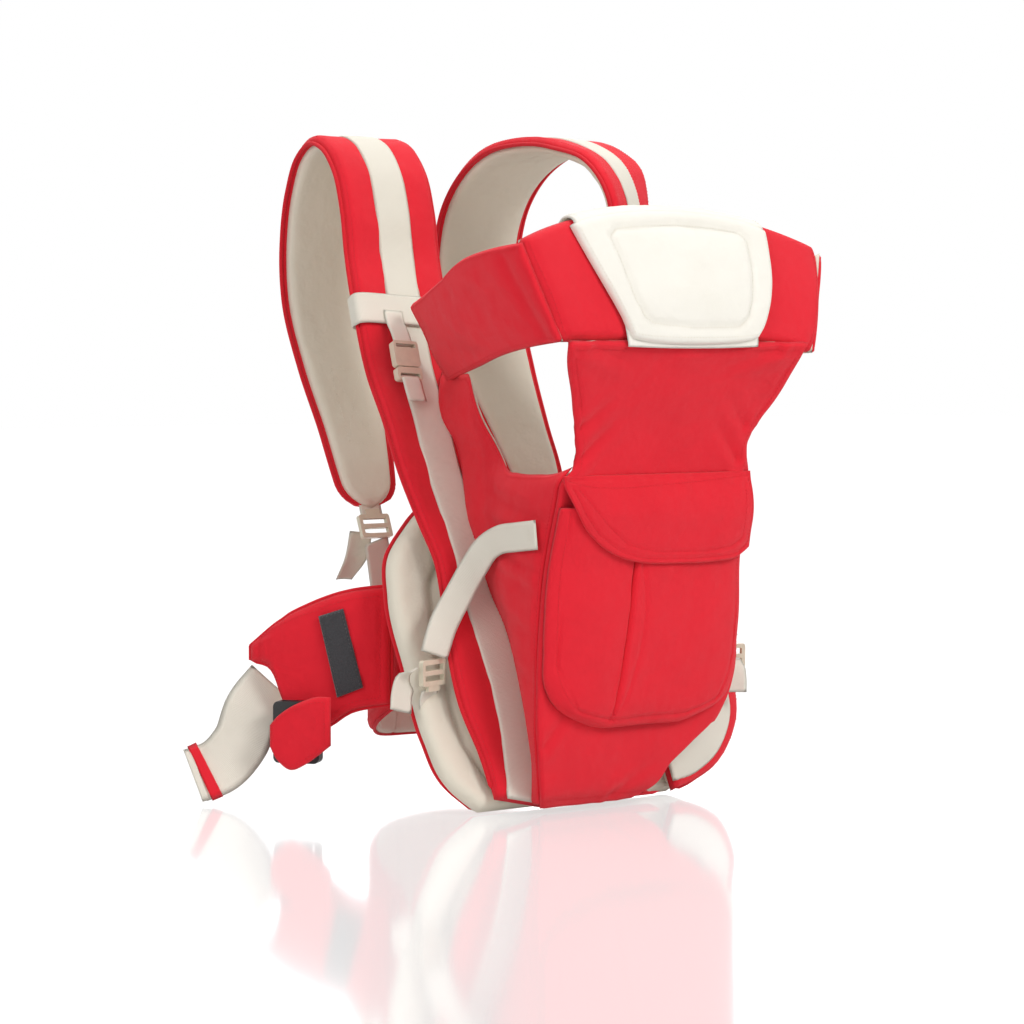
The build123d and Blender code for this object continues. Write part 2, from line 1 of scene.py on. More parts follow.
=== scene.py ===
"""A red and cream baby carrier, standing on its seat panel with its straps looped and its belt spread.

Shapes are drawn in millimetres about the pouch and moved by PLACE into the frame's metres.  A padded piece is a
slab: a middle surface P(u, v) with a front and a back thickness along its normal, both falling to nothing at the
rim as a quarter circle, and pressed in along its seams.
"""
import bpy
import math
import numpy as np
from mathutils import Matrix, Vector


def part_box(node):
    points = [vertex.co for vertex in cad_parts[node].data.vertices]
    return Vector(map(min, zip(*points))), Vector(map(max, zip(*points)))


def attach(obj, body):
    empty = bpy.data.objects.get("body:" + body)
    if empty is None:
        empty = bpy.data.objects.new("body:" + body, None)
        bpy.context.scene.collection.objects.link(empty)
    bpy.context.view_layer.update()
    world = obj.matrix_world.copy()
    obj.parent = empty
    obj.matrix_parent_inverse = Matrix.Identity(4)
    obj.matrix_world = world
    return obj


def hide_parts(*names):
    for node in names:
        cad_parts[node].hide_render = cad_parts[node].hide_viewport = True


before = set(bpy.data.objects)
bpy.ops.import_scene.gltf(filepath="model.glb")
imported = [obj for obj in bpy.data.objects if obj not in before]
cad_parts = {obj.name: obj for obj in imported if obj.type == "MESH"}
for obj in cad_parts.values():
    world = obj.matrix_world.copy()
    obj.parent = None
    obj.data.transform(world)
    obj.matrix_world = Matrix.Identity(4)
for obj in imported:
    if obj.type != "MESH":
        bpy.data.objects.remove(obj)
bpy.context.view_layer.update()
MM = 0.001
PLACE = np.array((0.0, -26.55, 0.0))
SIDES = ((-1, "left"), (1, "right"))


# ---- numpy shapes
def lengths(line):
    """Distance along a line of points, from its first to each."""
    return np.concatenate(([0], np.cumsum(np.linalg.norm(np.diff(line, axis=0), axis=1))))


def read_line(s, t, line):
    """Points of a line at distances s, t being the distance to each of its own points."""
    return np.stack([np.interp(s, t, line[:, k]) for k in range(line.shape[1])], axis=-1)


def bell(distance, width):
    """The bell curve exp(-(distance / width)^2)."""
    return np.exp(-(distance / width) ** 2)


def ramp(x):
    """x held between 0 and 1."""
    return np.clip(x, 0, 1)


def fade(mid, reach):
    """Rises from 0 at a grid's rim to 1 a reach inside it."""
    return ramp(rim_distance(mid) / reach)


def hermite(t, values, s):
    """Values read at s: on each span of t the cubic Hermite whose end slopes are the neighbours' difference over
    their distance in t."""
    slope = np.gradient(values, t, axis=0)
    i = np.clip(np.searchsorted(t, s, side="right") - 1, 0, len(t) - 2)
    h = t[i + 1] - t[i]
    f = s - t[i]
    if values.ndim > 1:
        h, f = h[:, None], f[:, None]
    f = f / h
    return ((2 * f ** 3 - 3 * f ** 2 + 1) * values[i] + (f ** 3 - 2 * f ** 2 + f) * h * slope[i]
            + (3 * f ** 2 - 2 * f ** 3) * values[i + 1] + (f ** 3 - f ** 2) * h * slope[i + 1])


def through(rows, n):
    """Smooth rows through the given rows, read at n even steps of chord length."""
    rows = np.asarray(rows, float)
    t = lengths(rows[:, :3])
    return hermite(t, rows, np.linspace(0, 1, n) * t[-1])


def smooth_at(pairs, x):
    """Smooth y(x) through (x, y) pairs, x rising, held at both ends."""
    px, py = np.asarray(pairs, float).T
    return hermite(px, py, np.clip(x, px[0], px[-1]))


def noise(p, size, seed=0):
    """Value noise in -1..1: hashed values at a lattice's corners, blended with 3t^2 - 2t^3."""
    q = np.asarray(p, float) / size
    base = np.floor(q).astype(np.int64)
    f = q - base
    f = f * f * (3 - 2 * f)
    total = np.zeros(q.shape[:-1])
    for corner in range(8):
        step = np.array((corner & 1, corner >> 1 & 1, corner >> 2))
        c = base + step
        h = (c[..., 0] * 73856093) ^ (c[..., 1] * 19349663) ^ (c[..., 2] * 83492791) ^ (seed * 26544357 + 977)
        h = (((h ^ (h >> 13)) * 1274126177) & 0x7FFFFFFF) ^ (h >> 7 & 0xFFFF)
        total += np.prod(np.where(step, f, 1 - f), axis=-1) * ((h % 10007) / 5003.0 - 1)
    return total


def unit(v):
    return v / np.maximum(np.linalg.norm(v, axis=-1, keepdims=True), 1e-9)


def grid_normals(mid):
    """Unit normals of a grid of points: the cross product of its differences along u and along v."""
    return unit(np.cross(np.gradient(mid, axis=1), np.gradient(mid, axis=0)))


def arc_uv(mid):
    """Cloth coordinates in mm: u is arc length across each row from its middle, v is arc length along the middle
    column."""
    across = np.cumsum(np.linalg.norm(np.diff(mid, axis=1, prepend=mid[:, :1]), axis=-1), axis=1)
    across -= across[:, [mid.shape[1] // 2]]
    centre = mid[:, mid.shape[1] // 2]
    along = np.cumsum(np.linalg.norm(np.diff(centre, axis=0, prepend=centre[:1]), axis=-1))
    return across, np.repeat(along[:, None], mid.shape[1], axis=1)


def rim_distance(mid):
    """Distance in mm of every grid point from the nearest of the grid's four edges, along its row or column."""
    du = np.cumsum(np.linalg.norm(np.diff(mid, axis=1, prepend=mid[:, :1]), axis=-1), axis=1)
    dv = np.cumsum(np.linalg.norm(np.diff(mid, axis=0, prepend=mid[:1]), axis=-1), axis=0)
    return np.minimum(np.minimum(du, du[:, -1:] - du), np.minimum(dv, dv[-1:] - dv))


def near_line(mid, path):
    """Distance in mm of every grid point from a line on the surface, given as (u, v) shares of the grid."""
    line = sample(mid, path)
    best = np.full(mid.shape[:2], 1e9)
    for a, b in zip(line, line[1:]):
        ab = b - a
        t = ramp(((mid - a) @ ab) / max(ab @ ab, 1e-9))
        best = np.minimum(best, np.linalg.norm(mid - (a + t[..., None] * ab), axis=-1))
    return best


def sample(surface, path):
    """Points of a grid at (u, v) shares, by bilinear reading."""
    path = np.asarray(path, float)
    m, n = surface.shape[:2]
    x, y = ramp(path[:, 0]) * (n - 1), ramp(path[:, 1]) * (m - 1)
    i, j = np.minimum(y.astype(int), m - 2), np.minimum(x.astype(int), n - 2)
    fy, fx = (y - i)[:, None], (x - j)[:, None]
    return ((1 - fy) * (1 - fx) * surface[i, j] + (1 - fy) * fx * surface[i, j + 1]
            + fy * (1 - fx) * surface[i + 1, j] + fy * fx * surface[i + 1, j + 1])


def dense(path, n):
    """A (u, v) line resampled to n straight steps."""
    path = np.asarray(path, float)
    t = lengths(path)
    return read_line(np.linspace(0, t[-1], n), t, path)


def new_object(name, verts, faces, uv=None):
    """A mesh object from mm points in the drawing, quads, and cloth coordinates for every point."""
    mesh = bpy.data.meshes.new(name)
    mesh.from_pydata(((np.asarray(verts) + PLACE) * MM).tolist(), [], np.asarray(faces).tolist())
    if uv is not None:
        layer = mesh.uv_layers.new(name="cloth")
        index = np.empty(len(mesh.loops), np.int64)
        mesh.loops.foreach_get("vertex_index", index)
        layer.data.foreach_set("uv", (np.asarray(uv)[index] * MM).astype(np.float32).ravel())
    mesh.polygons.foreach_set("use_smooth", np.full(len(mesh.polygons), True))
    mesh.update()
    obj = bpy.data.objects.new(name, mesh)
    bpy.context.scene.collection.objects.link(obj)
    return obj


def shell_faces(m, n):
    """Quads of a closed slab of two m by n grids that share their rim, and the back grid's point numbers."""
    front = np.arange(m * n).reshape(m, n)
    back = front.copy()
    back[1:-1, 1:-1] = m * n + np.arange((m - 2) * (n - 2)).reshape(m - 2, n - 2)

    def quads(g, turn):
        q = np.stack([g[:-1, :-1], g[:-1, 1:], g[1:, 1:], g[1:, :-1]], axis=-1).reshape(-1, 4)
        return q[:, ::-1] if turn else q
    return np.concatenate([quads(front, False), quads(back, True)])


def slab(name, mid, front, back, body, look, edge, seams=(), wrinkle=(0, 20), replaces=(), lift=None):
    """A closed cloth piece.  Thickness at each point is front or back times sqrt(1 - (1 - d/edge)^2), d being the
    distance from the rim up to edge, less depth * exp(-(distance to seam / width)^2) for each seam, plus noise.
    The middle surface itself may be lifted along its normal."""
    n = grid_normals(mid)
    if lift is not None:
        mid = mid + n * lift[..., None]
        n = grid_normals(mid)
    d = ramp(rim_distance(mid) / edge)
    rim = np.sqrt(ramp(1 - (1 - d) ** 2))
    ripple = np.zeros(mid.shape[:2])
    if wrinkle[0]:
        ripple = wrinkle[0] * (noise(mid, wrinkle[1], 3) + 0.5 * noise(mid, wrinkle[1] / 2.3, 7)) * d
    dip = np.zeros(mid.shape[:2])
    for path, depth, width in seams:
        dip = np.maximum(dip, depth * bell(near_line(mid, path), width))
    top = mid + n * (np.maximum(front * rim - dip, np.minimum(0.15, front * rim)) + ripple * rim)[..., None]
    low = mid - n * (back * rim)[..., None]
    verts = np.concatenate([top.reshape(-1, 3), low[1:-1, 1:-1].reshape(-1, 3)])
    u, v = arc_uv(mid)
    flat = np.stack([u, v], axis=-1)
    uv = np.concatenate([flat.reshape(-1, 2), flat[1:-1, 1:-1].reshape(-1, 2)])
    obj = new_object(name, verts, shell_faces(*mid.shape[:2]), uv)
    finish_piece(obj, body, look, replaces)
    return {"top": top, "normal": grid_normals(top), "back": low, "body": body}


def finish_piece(obj, body, look, replaces=()):
    obj.data.materials.append(MATERIAL[look])
    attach(obj, body)
    if replaces:
        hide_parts(*replaces)


SEWN = {}
STITCH_RISE, STITCH_PITCH, STITCH_HALF, THREAD = 0.15, 3.2, 1.15, 0.36


def sew(surface, thread, *paths, side=1):
    """Marks lines of stitches on a surface, to be made with the others of its body and thread."""
    outer = surface["top"] if side > 0 else surface["back"]
    for path in paths:
        line = dense(path, 90)
        points, normals = sample(outer, line), unit(sample(surface["normal"], line)) * side
        SEWN.setdefault((surface["body"], thread), []).append((points + normals * STITCH_RISE, normals))


def lines_of(seams):
    """The (u, v) lines alone of (line, depth, width) seams."""
    return [line for line, _, _ in seams]


def inset_loop(grid, inset, sides="lrtb"):
    """(u, v) shares of a line a given number of mm inside the grid's edges."""
    m, n = grid.shape[:2]
    wide = np.linalg.norm(grid[m // 2, 0] - grid[m // 2, -1])
    tall = lengths(grid[:, n // 2])[-1]
    a, b = inset / max(wide, 1), inset / max(tall, 1)
    ends = {"l": [(a, b), (a, 1 - b)], "r": [(1 - a, b), (1 - a, 1 - b)], "b": [(a, b), (1 - a, b)],
            "t": [(a, 1 - b), (1 - a, 1 - b)]}
    return [ends[side] for side in "lrbt" if side in sides]


def make_stitches():
    """Every marked line becomes stitches at an even pitch: eight-faced spindles, half sunk in the cloth."""
    for (body, thread), rows in SEWN.items():
        verts, faces = [], []
        for points, normals in rows:
            t = lengths(points)
            count = max(int(t[-1] / STITCH_PITCH), 2)
            s = (np.arange(count) + 0.5) * t[-1] / count
            c, nrm = read_line(s, t, points), unit(read_line(s, t, normals))
            along = unit(np.gradient(c, axis=0))
            side = unit(np.cross(nrm, along))
            ring = [c - along * STITCH_HALF, c + side * THREAD, c + nrm * THREAD, c - side * THREAD, c - nrm * 0.3,
                    c + along * STITCH_HALF]
            start = sum(len(v) for v in verts)
            verts.append(np.stack(ring, axis=1).reshape(-1, 3))
            base = start + 6 * np.arange(count)[:, None, None]
            tri = np.array([(0, 1, 2), (0, 2, 3), (0, 3, 4), (0, 4, 1), (5, 2, 1), (5, 3, 2), (5, 4, 3), (5, 1, 4)])
            faces.append((base + tri).reshape(-1, 3))
        obj = new_object(f"{body}_{thread}_stitching", np.concatenate(verts), np.concatenate(faces))
        finish_piece(obj, body, thread)


def tube(name, path, radius, body, look):
    """A round bead along a path: points c(s) + r(cos a n(s) + sin a b(s)), ends closed to a point."""
    path = np.asarray(path, float)
    along = unit(np.gradient(path, axis=0))
    sides = 10
    ref = unit(np.cross(along, (0.31, 0.17, 0.93)))
    other = unit(np.cross(along, ref))
    a = np.linspace(0, 2 * np.pi, sides, endpoint=False)
    r = np.full(len(path), radius, float)
    r[0] = r[-1] = 0.01
    ring = path[:, None] + r[:, None, None] * (np.cos(a)[None, :, None] * ref[:, None]
                                              + np.sin(a)[None, :, None] * other[:, None])
    m = len(path)
    g = np.arange(m * sides).reshape(m, sides)
    g = np.concatenate([g, g[:, :1]], axis=1)
    faces = np.stack([g[:-1, :-1], g[:-1, 1:], g[1:, 1:], g[1:, :-1]], axis=-1).reshape(-1, 4)
    s = lengths(path)
    uv = np.stack([np.repeat(a[None] * radius, m, 0), np.repeat(s[:, None], sides, 1)], axis=-1).reshape(-1, 2)
    finish_piece(new_object(name, ring.reshape(-1, 3), faces, uv), body, look)


def ribbon_mid(points, wide, width, curl):
    """Middle surface of a webbing: a smooth centre line with a smooth width direction kept square to it, the
    cross row bowed by curl * (1 - (2u - 1)^2)."""
    rows = np.concatenate([points, wide], axis=1).astype(float)
    rows = through(rows, max(int(lengths(rows[:, :3])[-1] / 3), 12))
    c, w = rows[:, :3], rows[:, 3:6]
    along = unit(np.gradient(c, axis=0))
    w = unit(w - along * np.sum(w * along, axis=1, keepdims=True))
    normal = np.cross(w, along)
    x = np.linspace(-0.5, 0.5, 9)
    bow = curl * (1 - (2 * x) ** 2)
    return c[:, None] + w[:, None] * (x * width)[None, :, None] + normal[:, None] * bow[None, :, None]


def webbing(name, points, wide, width, body, thick=1.5, look="webbing", replaces=(), curl=0.0, ends=True):
    """A woven strap: a slab over the ribbon and, when ends is set, two cross rows of stitches near its first end."""
    mid = ribbon_mid(points, wide, width, curl=curl)
    s = slab(name, mid, thick / 2, thick / 2, body, look, edge=0.7, replaces=replaces)
    if ends:
        length = lengths(mid[:, mid.shape[1] // 2])[-1]
        sew(s, "cream_thread", *[[(0.12, v), (0.88, v)] for v in (4 / length, 9 / length)])


# ---- materials
MATERIAL, SLOT = {}, {}


def linear(rgb):
    return tuple((c / 255 / 12.92) if c <= 10 else ((c / 255 + 0.055) / 1.055) ** 2.4 for c in rgb)


def material(name, slot):
    mat = bpy.data.materials.new(name)
    mat.use_nodes = True
    MATERIAL[name], SLOT[name] = mat, slot
    tree = mat.node_tree
    return tree, tree.nodes["Principled BSDF"]


def node(tree, kind, **values):
    made = tree.nodes.new("ShaderNode" + kind)
    for key, value in values.items():
        if hasattr(made, key):
            setattr(made, key, value)
        else:
            made.inputs[key.replace("_", " ")].default_value = value
    return made


def fill(shader, **values):
    for key, value in values.items():
        shader.inputs[key.replace("_", " ")].default_value = value


def math_node(tree, operation, a, b=None):
    made = tree.nodes.new("ShaderNodeMath")
    made.operation = operation
    for slot, value in enumerate((a, b)):
        if value is None:
            continue
        if isinstance(value, (int, float)):
            made.inputs[slot].default_value = value
        else:
            tree.links.new(value, made.inputs[slot])
    return made.outputs[0]


def textures(tree, *wanted):
    """Textures of the given (kind, scale, detail), all read at the Object coordinates."""
    place, made = node(tree, "TexCoord"), []
    for kind, scale, detail in wanted:
        made.append(node(tree, kind, Scale=scale, Detail=detail) if detail else node(tree, kind, Scale=scale))
        tree.links.new(place.outputs["Object"], made[-1].inputs["Vector"])
    return made


def bumped(tree, shader, height, strength, distance):
    """The shader's normal from a height socket."""
    bump = node(tree, "Bump", Strength=strength, Distance=distance)
    tree.links.new(height, bump.inputs["Height"])
    tree.links.new(bump.outputs[0], shader.inputs["Normal"])


def two_tone(tree, shader, rgb, other, share):
    """Base colour mixed from two sRGB colours by a socket."""
    mix = node(tree, "Mix", data_type="RGBA")
    mix.inputs[6].default_value = (*linear(rgb), 1)
    mix.inputs[7].default_value = (*other, 1)
    tree.links.new(share, mix.inputs[0])
    tree.links.new(mix.outputs[2], shader.inputs["Base Color"])


def woven(name, slot, rgb, dark, thread_u, thread_v, weave, roughness=0.8, sheen=0.3, lint=0.5, puckers=0.35,
          twill=0.0):
    """Woven cloth: over-and-under threads as sin(2 pi u / a) * sin(2 pi v / b) on the cloth coordinates, or slanted
    into a twill, with lint noise, soft puckers of 8 and 30 mm, a slow random drift of colour, and painted shade that
    darkens the weave's valleys."""
    tree, shader = material(name, slot)
    link = tree.links.new
    uv = node(tree, "UVMap", uv_map="cloth")
    split = node(tree, "SeparateXYZ")
    link(uv.outputs[0], split.inputs[0])
    slanted = math_node(tree, "ADD", split.outputs[1], math_node(tree, "MULTIPLY", split.outputs[0], twill))
    a = math_node(tree, "SINE", math_node(tree, "MULTIPLY", split.outputs[0], 2 * math.pi / (thread_u * MM)))
    b = math_node(tree, "SINE", math_node(tree, "MULTIPLY", slanted, 2 * math.pi / (thread_v * MM)))
    threads = math_node(tree, "MULTIPLY", a, b)
    fine, mid, slow = textures(tree, ("TexNoise", 1400.0, 3.0), ("TexNoise", 95.0, 3.0), ("TexNoise", 22.0, 2.0))
    height = math_node(tree, "ADD", math_node(tree, "MULTIPLY", threads, weave),
                       math_node(tree, "MULTIPLY", fine.outputs[0], lint))
    bump = node(tree, "Bump", Strength=0.55, Distance=0.0004)
    link(height, bump.inputs["Height"])
    soft = node(tree, "Bump", Strength=puckers, Distance=0.007)
    link(math_node(tree, "ADD", math_node(tree, "MULTIPLY", mid.outputs[0], 0.45), slow.outputs[0]),
         soft.inputs["Height"])
    link(soft.outputs[0], bump.inputs["Normal"])
    link(bump.outputs[0], shader.inputs["Normal"])
    # painted shade: the colour leans to the darker tone where the weave's threads dip (threads * -0.12), on top of a
    # slow random drift of tone
    tone_and_valley_shade = node(tree, "MapRange", From_Min=0.35, From_Max=0.75, To_Max=0.35)
    link(math_node(tree, "ADD", math_node(tree, "MULTIPLY", slow.outputs[0], 0.7),
                   math_node(tree, "MULTIPLY", threads, -0.12)), tone_and_valley_shade.inputs["Value"])
    two_tone(tree, shader, rgb, linear(dark), tone_and_valley_shade.outputs[0])
    fill(shader, Roughness=roughness, Sheen_Weight=sheen, Sheen_Roughness=0.45, Specular_IOR_Level=0.25,
         Sheen_Tint=(*[min(1, c * 0.6 + 0.35) for c in linear(rgb)], 1))


def moulded(name, slot, rgb, roughness):
    """Moulded plastic: an even colour with faint mottling and a very fine grain."""
    tree, shader = material(name, slot)
    grain, wear = textures(tree, ("TexNoise", 2600.0, 2.0), ("TexNoise", 140.0, 4.0))
    bumped(tree, shader, grain.outputs[0], 0.25, 0.0001)
    polish = node(tree, "MapRange", To_Min=roughness - 0.08, To_Max=roughness + 0.12)
    tree.links.new(wear.outputs[0], polish.inputs["Value"])
    tree.links.new(polish.outputs[0], shader.inputs["Roughness"])
    two_tone(tree, shader, rgb, [c * 0.8 for c in linear(rgb)], wear.outputs[0])


def looped(name, slot, rgb):
    """Hook-and-loop tape: a dense field of small raised loops."""
    tree, shader = material(name, slot)
    dots, lint = textures(tree, ("TexVoronoi", 900.0, None), ("TexNoise", 600.0, 4.0))
    bumped(tree, shader, math_node(tree, "SUBTRACT", lint.outputs[0], dots.outputs[0]), 0.7, 0.0006)
    two_tone(tree, shader, rgb, linear([c + 26 for c in rgb]), lint.outputs[0])
    fill(shader, Roughness=0.9, Sheen_Weight=0.3)


# the darker tones woven() mixes in, both for a random drift of tone and for painted shade in the weave's valleys
RED, DEEP_RED = (231, 30, 47), (190, 16, 32)
CREAM, TAN = (228, 220, 203), (205, 194, 172)
woven("red_cloth", "red_fabric", RED, DEEP_RED, 0.7, 0.7, 0.6)
woven("red_piping", "red_fabric", (222, 28, 44), DEEP_RED, 0.6, 1.2, 0.7, puckers=0.1)
woven("cream_cloth", "cream_lining", CREAM, TAN, 0.8, 0.8, 0.4, roughness=0.9, sheen=0.4, lint=0.9)
woven("webbing", "cream_webbing", (232, 226, 212), (206, 198, 180), 1.6, 1.1, 1.0, roughness=0.65, sheen=0.2,
      twill=0.7, puckers=0.12)
woven("bib_cloth", "bib_fabric", (240, 236, 226), (222, 214, 198), 0.9, 0.9, 0.35, roughness=0.92, sheen=0.5,
      lint=1.0)
woven("red_thread", "red_fabric", (214, 24, 40), DEEP_RED, 0.5, 0.5, 0.2, puckers=0.0)
woven("cream_thread", "cream_webbing", (236, 230, 216), TAN, 0.5, 0.5, 0.2, puckers=0.0)
looped("black_tape", "black_tape", (38, 37, 40))
moulded("cream_plastic", "cream_plastic", (222, 213, 190), 0.38)
moulded("black_plastic", "black_plastic", (28, 28, 30), 0.42)

# ---- the carrier's own curves (mm)
FRONT = [(4, -3), (14, -12), (40, -19), (75, -22), (100, -24), (160, -28), (213, -31), (255, -40), (287, -47),
         (334, -59), (370, -76), (400, -93)]
SEAT = [(0, 18), (45, 44), (94, 68), (145, 90), (213, 110), (278, 126)]
SEAT_WIDE = [(0, 134), (20, 155), (60, 166), (120, 167), (180, 169), (218, 160), (236, 143), (252, 124), (268, 94)]
SEAT_RIGHT = [(0, 72), (6, 92), (15, 116), (34, 130), (60, 141), (100, 158), (140, 167), (180, 169), (218, 160),
              (236, 143), (252, 124), (268, 94)]
FACE_LEFT = [(4, -90), (12, -96), (39, -104), (100, -110), (150, -110.5), (218, -106), (266, -103), (284, -101),
             (296, -91), (319, -94), (352, -106), (391, -127), (402, -131)]
FACE_RIGHT = [(4, 6), (15, 25), (36, 43), (52, 64), (67, 86), (85, 101), (105, 109), (150, 111), (209, 111),
              (262, 110), (289, 106), (311, 99), (328, 106), (350, 119), (372, 127), (390, 132), (402, 134)]
STRAP_WIDTH = 100
# A strap's middle as (x, y, z, turn of its width in degrees, width), the last two 0 and STRAP_WIDTH unless given.
STRAPS = {-1: [
    (-101, 9, 7, 0, 54), (-96, 18, 26, 0, 64), (-92, 27, 45, 0, 74), (-90, 45, 94, 0, 98), (-95, 64, 145, 0, 88),
    (-100, 76, 183, 0, 70), (-101, 86, 213, 0, 68), (-104, 101, 247, 0, 76), (-105, 119, 280, 0, 82),
    (-98, 152, 332, 0, 90), (-94, 178, 372, 0, 96), (-91, 199, 425), (-86, 221, 480), (-84, 231, 520),
    (-83, 246, 556), (-83, 264, 575), (-83, 284, 581), (-83, 305, 570), (-83, 322, 540), (-83, 332, 495),
    (-84, 328, 440), (-88, 302, 375, 0, 90), (-93, 273, 321, 0, 75), (-97, 250, 275, 0, 64),
    (-97, 240, 250, 0, 56)], 1: [
    (58, 11, 28, 0, 50), (82, 12, 34, 5, 54), (106, 14, 47, 10, 60), (122, 19, 69, 16, 66),
    (125, 30, 100, 20, 80), (121, 44, 145, 24, 92), (116, 68, 213, 20), (110, 103, 280, 18), (108, 135, 332, 20),
    (109, 151, 372, 28), (108, 148, 400, 32), (103, 133, 440, 32), (100, 119, 480, 32), (98, 112, 520, 34),
    (97, 132, 556, 28), (96, 168, 575, 18), (95, 212, 583, 8), (92, 252, 578), (90, 288, 560), (88, 314, 530),
    (86, 325, 490), (86, 322, 440), (90, 300, 375, 0, 90), (94, 273, 321, 0, 75), (98, 250, 275, 0, 64),
    (98, 240, 250, 0, 56)]}
STRAPS = {side: [row + (0, STRAP_WIDTH)[len(row) - 3:] for row in rows] for side, rows in STRAPS.items()}
HEAD = [(398, -94), (404, -93), (430, -88), (470, -76), (512, -60)]
HEAD_LEFT = [(389, 127), (404, 133), (430, 141), (480, 156), (493, 158), (512, 158)]
HEAD_RIGHT = [(389, 138), (406, 147), (437, 158), (476, 166), (495, 166), (512, 166)]


SIDE_SEAM = np.array([(-89, 5, 7), (-83, 11, 26), (-76, 18, 42), (-71, 28, 71), (-72, 39, 100), (-76, 50, 130),
                      (-80, 61, 160), (-87, 68, 181), (-91, 75, 203), (-92, 86, 230), (-93, 94, 245),
                      (-89, 105, 268), (-84, 117, 290), (-81, 132, 312), (-86, 146, 335), (-78, 161, 358),
                      (-67, 170, 376)], float)


def front_y(z):
    return smooth_at(FRONT, z)


def seat_y(z):
    return smooth_at(SEAT, z)


def belly(x, z):
    """How far the pouch's face swells forward: a low dome, widest at the baby's seat, in mm."""
    dome = ramp(1 - (x / 112) ** 2) * bell(z - 150, 95)
    return 5.0 * dome


def face(x, z, out=0.0):
    """A point on the pouch's face, a distance out of it."""
    return np.stack([x, front_y(z) - belly(x, z) - out, z + 0 * x], axis=-1)


def strap_frame(side):
    """Centres, width directions, outward normals and widths down a strap, its last 24 mm rounded off."""
    m = 230
    rows = through(STRAPS[side], m)
    c, turn, width = rows[:, :3], np.radians(rows[:, 3]), rows[:, 4].copy()
    along = unit(np.gradient(c, axis=0))
    across = np.stack([np.cos(turn), np.sin(turn), 0 * turn], axis=1)
    across = unit(across - along * np.sum(across * along, axis=1, keepdims=True))
    left = np.linalg.norm(c - c[-1], axis=1)
    end = ramp(1 - left / 24)
    end[: m // 2] = 0
    width *= np.sqrt(np.clip(1 - end ** 2, 0.02, 1))
    return c, across, np.cross(across, along), width


def strap_grid(side, inset=0.0, off=0.0, n=25, limit=None):
    """Points across a strap: centre + across * x * width + normal * off."""
    c, across, normal, width = strap_frame(side)
    w = np.maximum(width - 2 * inset, 1.0)
    if limit:
        w = np.minimum(limit, np.maximum(width - 18, 1.0))
    x = np.linspace(-0.5, 0.5, n)
    return c[:, None] + across[:, None] * (x * w[:, None])[..., None] + normal[:, None] * off


def strap_rear(side, z):
    """The line on a strap's outer face, by height, that the side panel is sewn to."""
    c, across, normal, _ = strap_frame(side)
    inward, lift = 20, 9.6
    rows = (c + across * (-side * inward) + normal * lift)[:110]
    order = np.maximum.accumulate(rows[:, 2]) + np.arange(len(rows)) * 1e-6
    return read_line(z, order, rows)


# ---- camera, floor and light
def setting():
    """A camera three quarters to the left at chest height, a pale floor, and broad soft lamps."""
    scene = bpy.context.scene
    camera = bpy.data.objects.new("camera", bpy.data.cameras.new("camera"))
    scene.collection.objects.link(camera)
    azimuth, tilt = math.radians(-37), math.radians(3)
    back = np.array((math.sin(azimuth) * math.cos(tilt), -math.cos(azimuth) * math.cos(tilt), math.sin(tilt)))
    target = (np.array((-66.6, 66.8, 252.7)) + PLACE) * MM
    camera.location = target + back * 2.6
    camera.rotation_euler = (math.pi / 2 - tilt, 0, azimuth)
    camera.data.sensor_width, camera.data.lens = 36, 105.1
    camera.data.clip_start, camera.data.clip_end = 0.05, 60
    scene.camera = camera

    bpy.ops.mesh.primitive_plane_add(size=24, location=(0, 0, -0.0012))
    floor = bpy.context.object
    floor.name = "studio_floor"
    mat = bpy.data.materials.new("studio_white")
    mat.use_nodes = True
    tree = mat.node_tree
    matt = node(tree, "BsdfDiffuse", Color=(0.2, 0.2, 0.2, 1))
    glow = node(tree, "Emission", Color=(1, 1, 1, 1))
    eye = node(tree, "LightPath")
    tree.links.new(math_node(tree, "ADD", math_node(tree, "MULTIPLY", eye.outputs["Is Camera Ray"], 0.72), 0.3),
                   glow.inputs["Strength"])
    gloss = node(tree, "BsdfGlossy", Color=(1, 1, 1, 1), Roughness=0.1)
    both, mix = node(tree, "AddShader"), node(tree, "MixShader")
    mix.inputs[0].default_value = 0.42
    for source, to in ((matt, both.inputs[0]), (glow, both.inputs[1]), (both, mix.inputs[1]), (gloss, mix.inputs[2]),
                       (mix, tree.nodes["Material Output"].inputs[0])):
        tree.links.new(source.outputs[0], to)
    floor.data.materials.append(mat)

    def lamp(name, place, aim, size, power):
        data = bpy.data.lights.new(name, "AREA")
        data.shape, data.size, data.energy = "DISK", size, power
        made = bpy.data.objects.new(name, data)
        scene.collection.objects.link(made)
        made.location = place
        direction = np.array(aim, float) - np.array(place)
        made.rotation_euler = Vector(direction).to_track_quat("-Z", "Y").to_euler()
    lamp("key", (0.7, -2.6, 2.2), (0, 0, 0.3), 1.3, 54)
    lamp("fill", (-3.0, -1.2, 1.5), (0, 0, 0.3), 1.7, 29)
    lamp("top", (0.3, 0.6, 2.6), (0, 0.1, 0.2), 1.8, 29)
    lamp("rear", (1.8, 2.4, 1.2), (0, 0.1, 0.3), 1.6, 18)
    world = bpy.data.worlds.new("studio")
    scene.world = world
    world.use_nodes = True
    tree = world.node_tree
    sky = tree.nodes["Background"]
    sky.inputs[0].default_value = (1, 1, 1, 1)
    path = node(tree, "LightPath")
    seen = math_node(tree, "MAXIMUM", path.outputs["Is Camera Ray"], path.outputs["Is Glossy Ray"])
    tree.links.new(math_node(tree, "ADD", math_node(tree, "MULTIPLY", seen, 0.54), 0.46), sky.inputs[1])
    scene.view_settings.view_transform = "Standard"


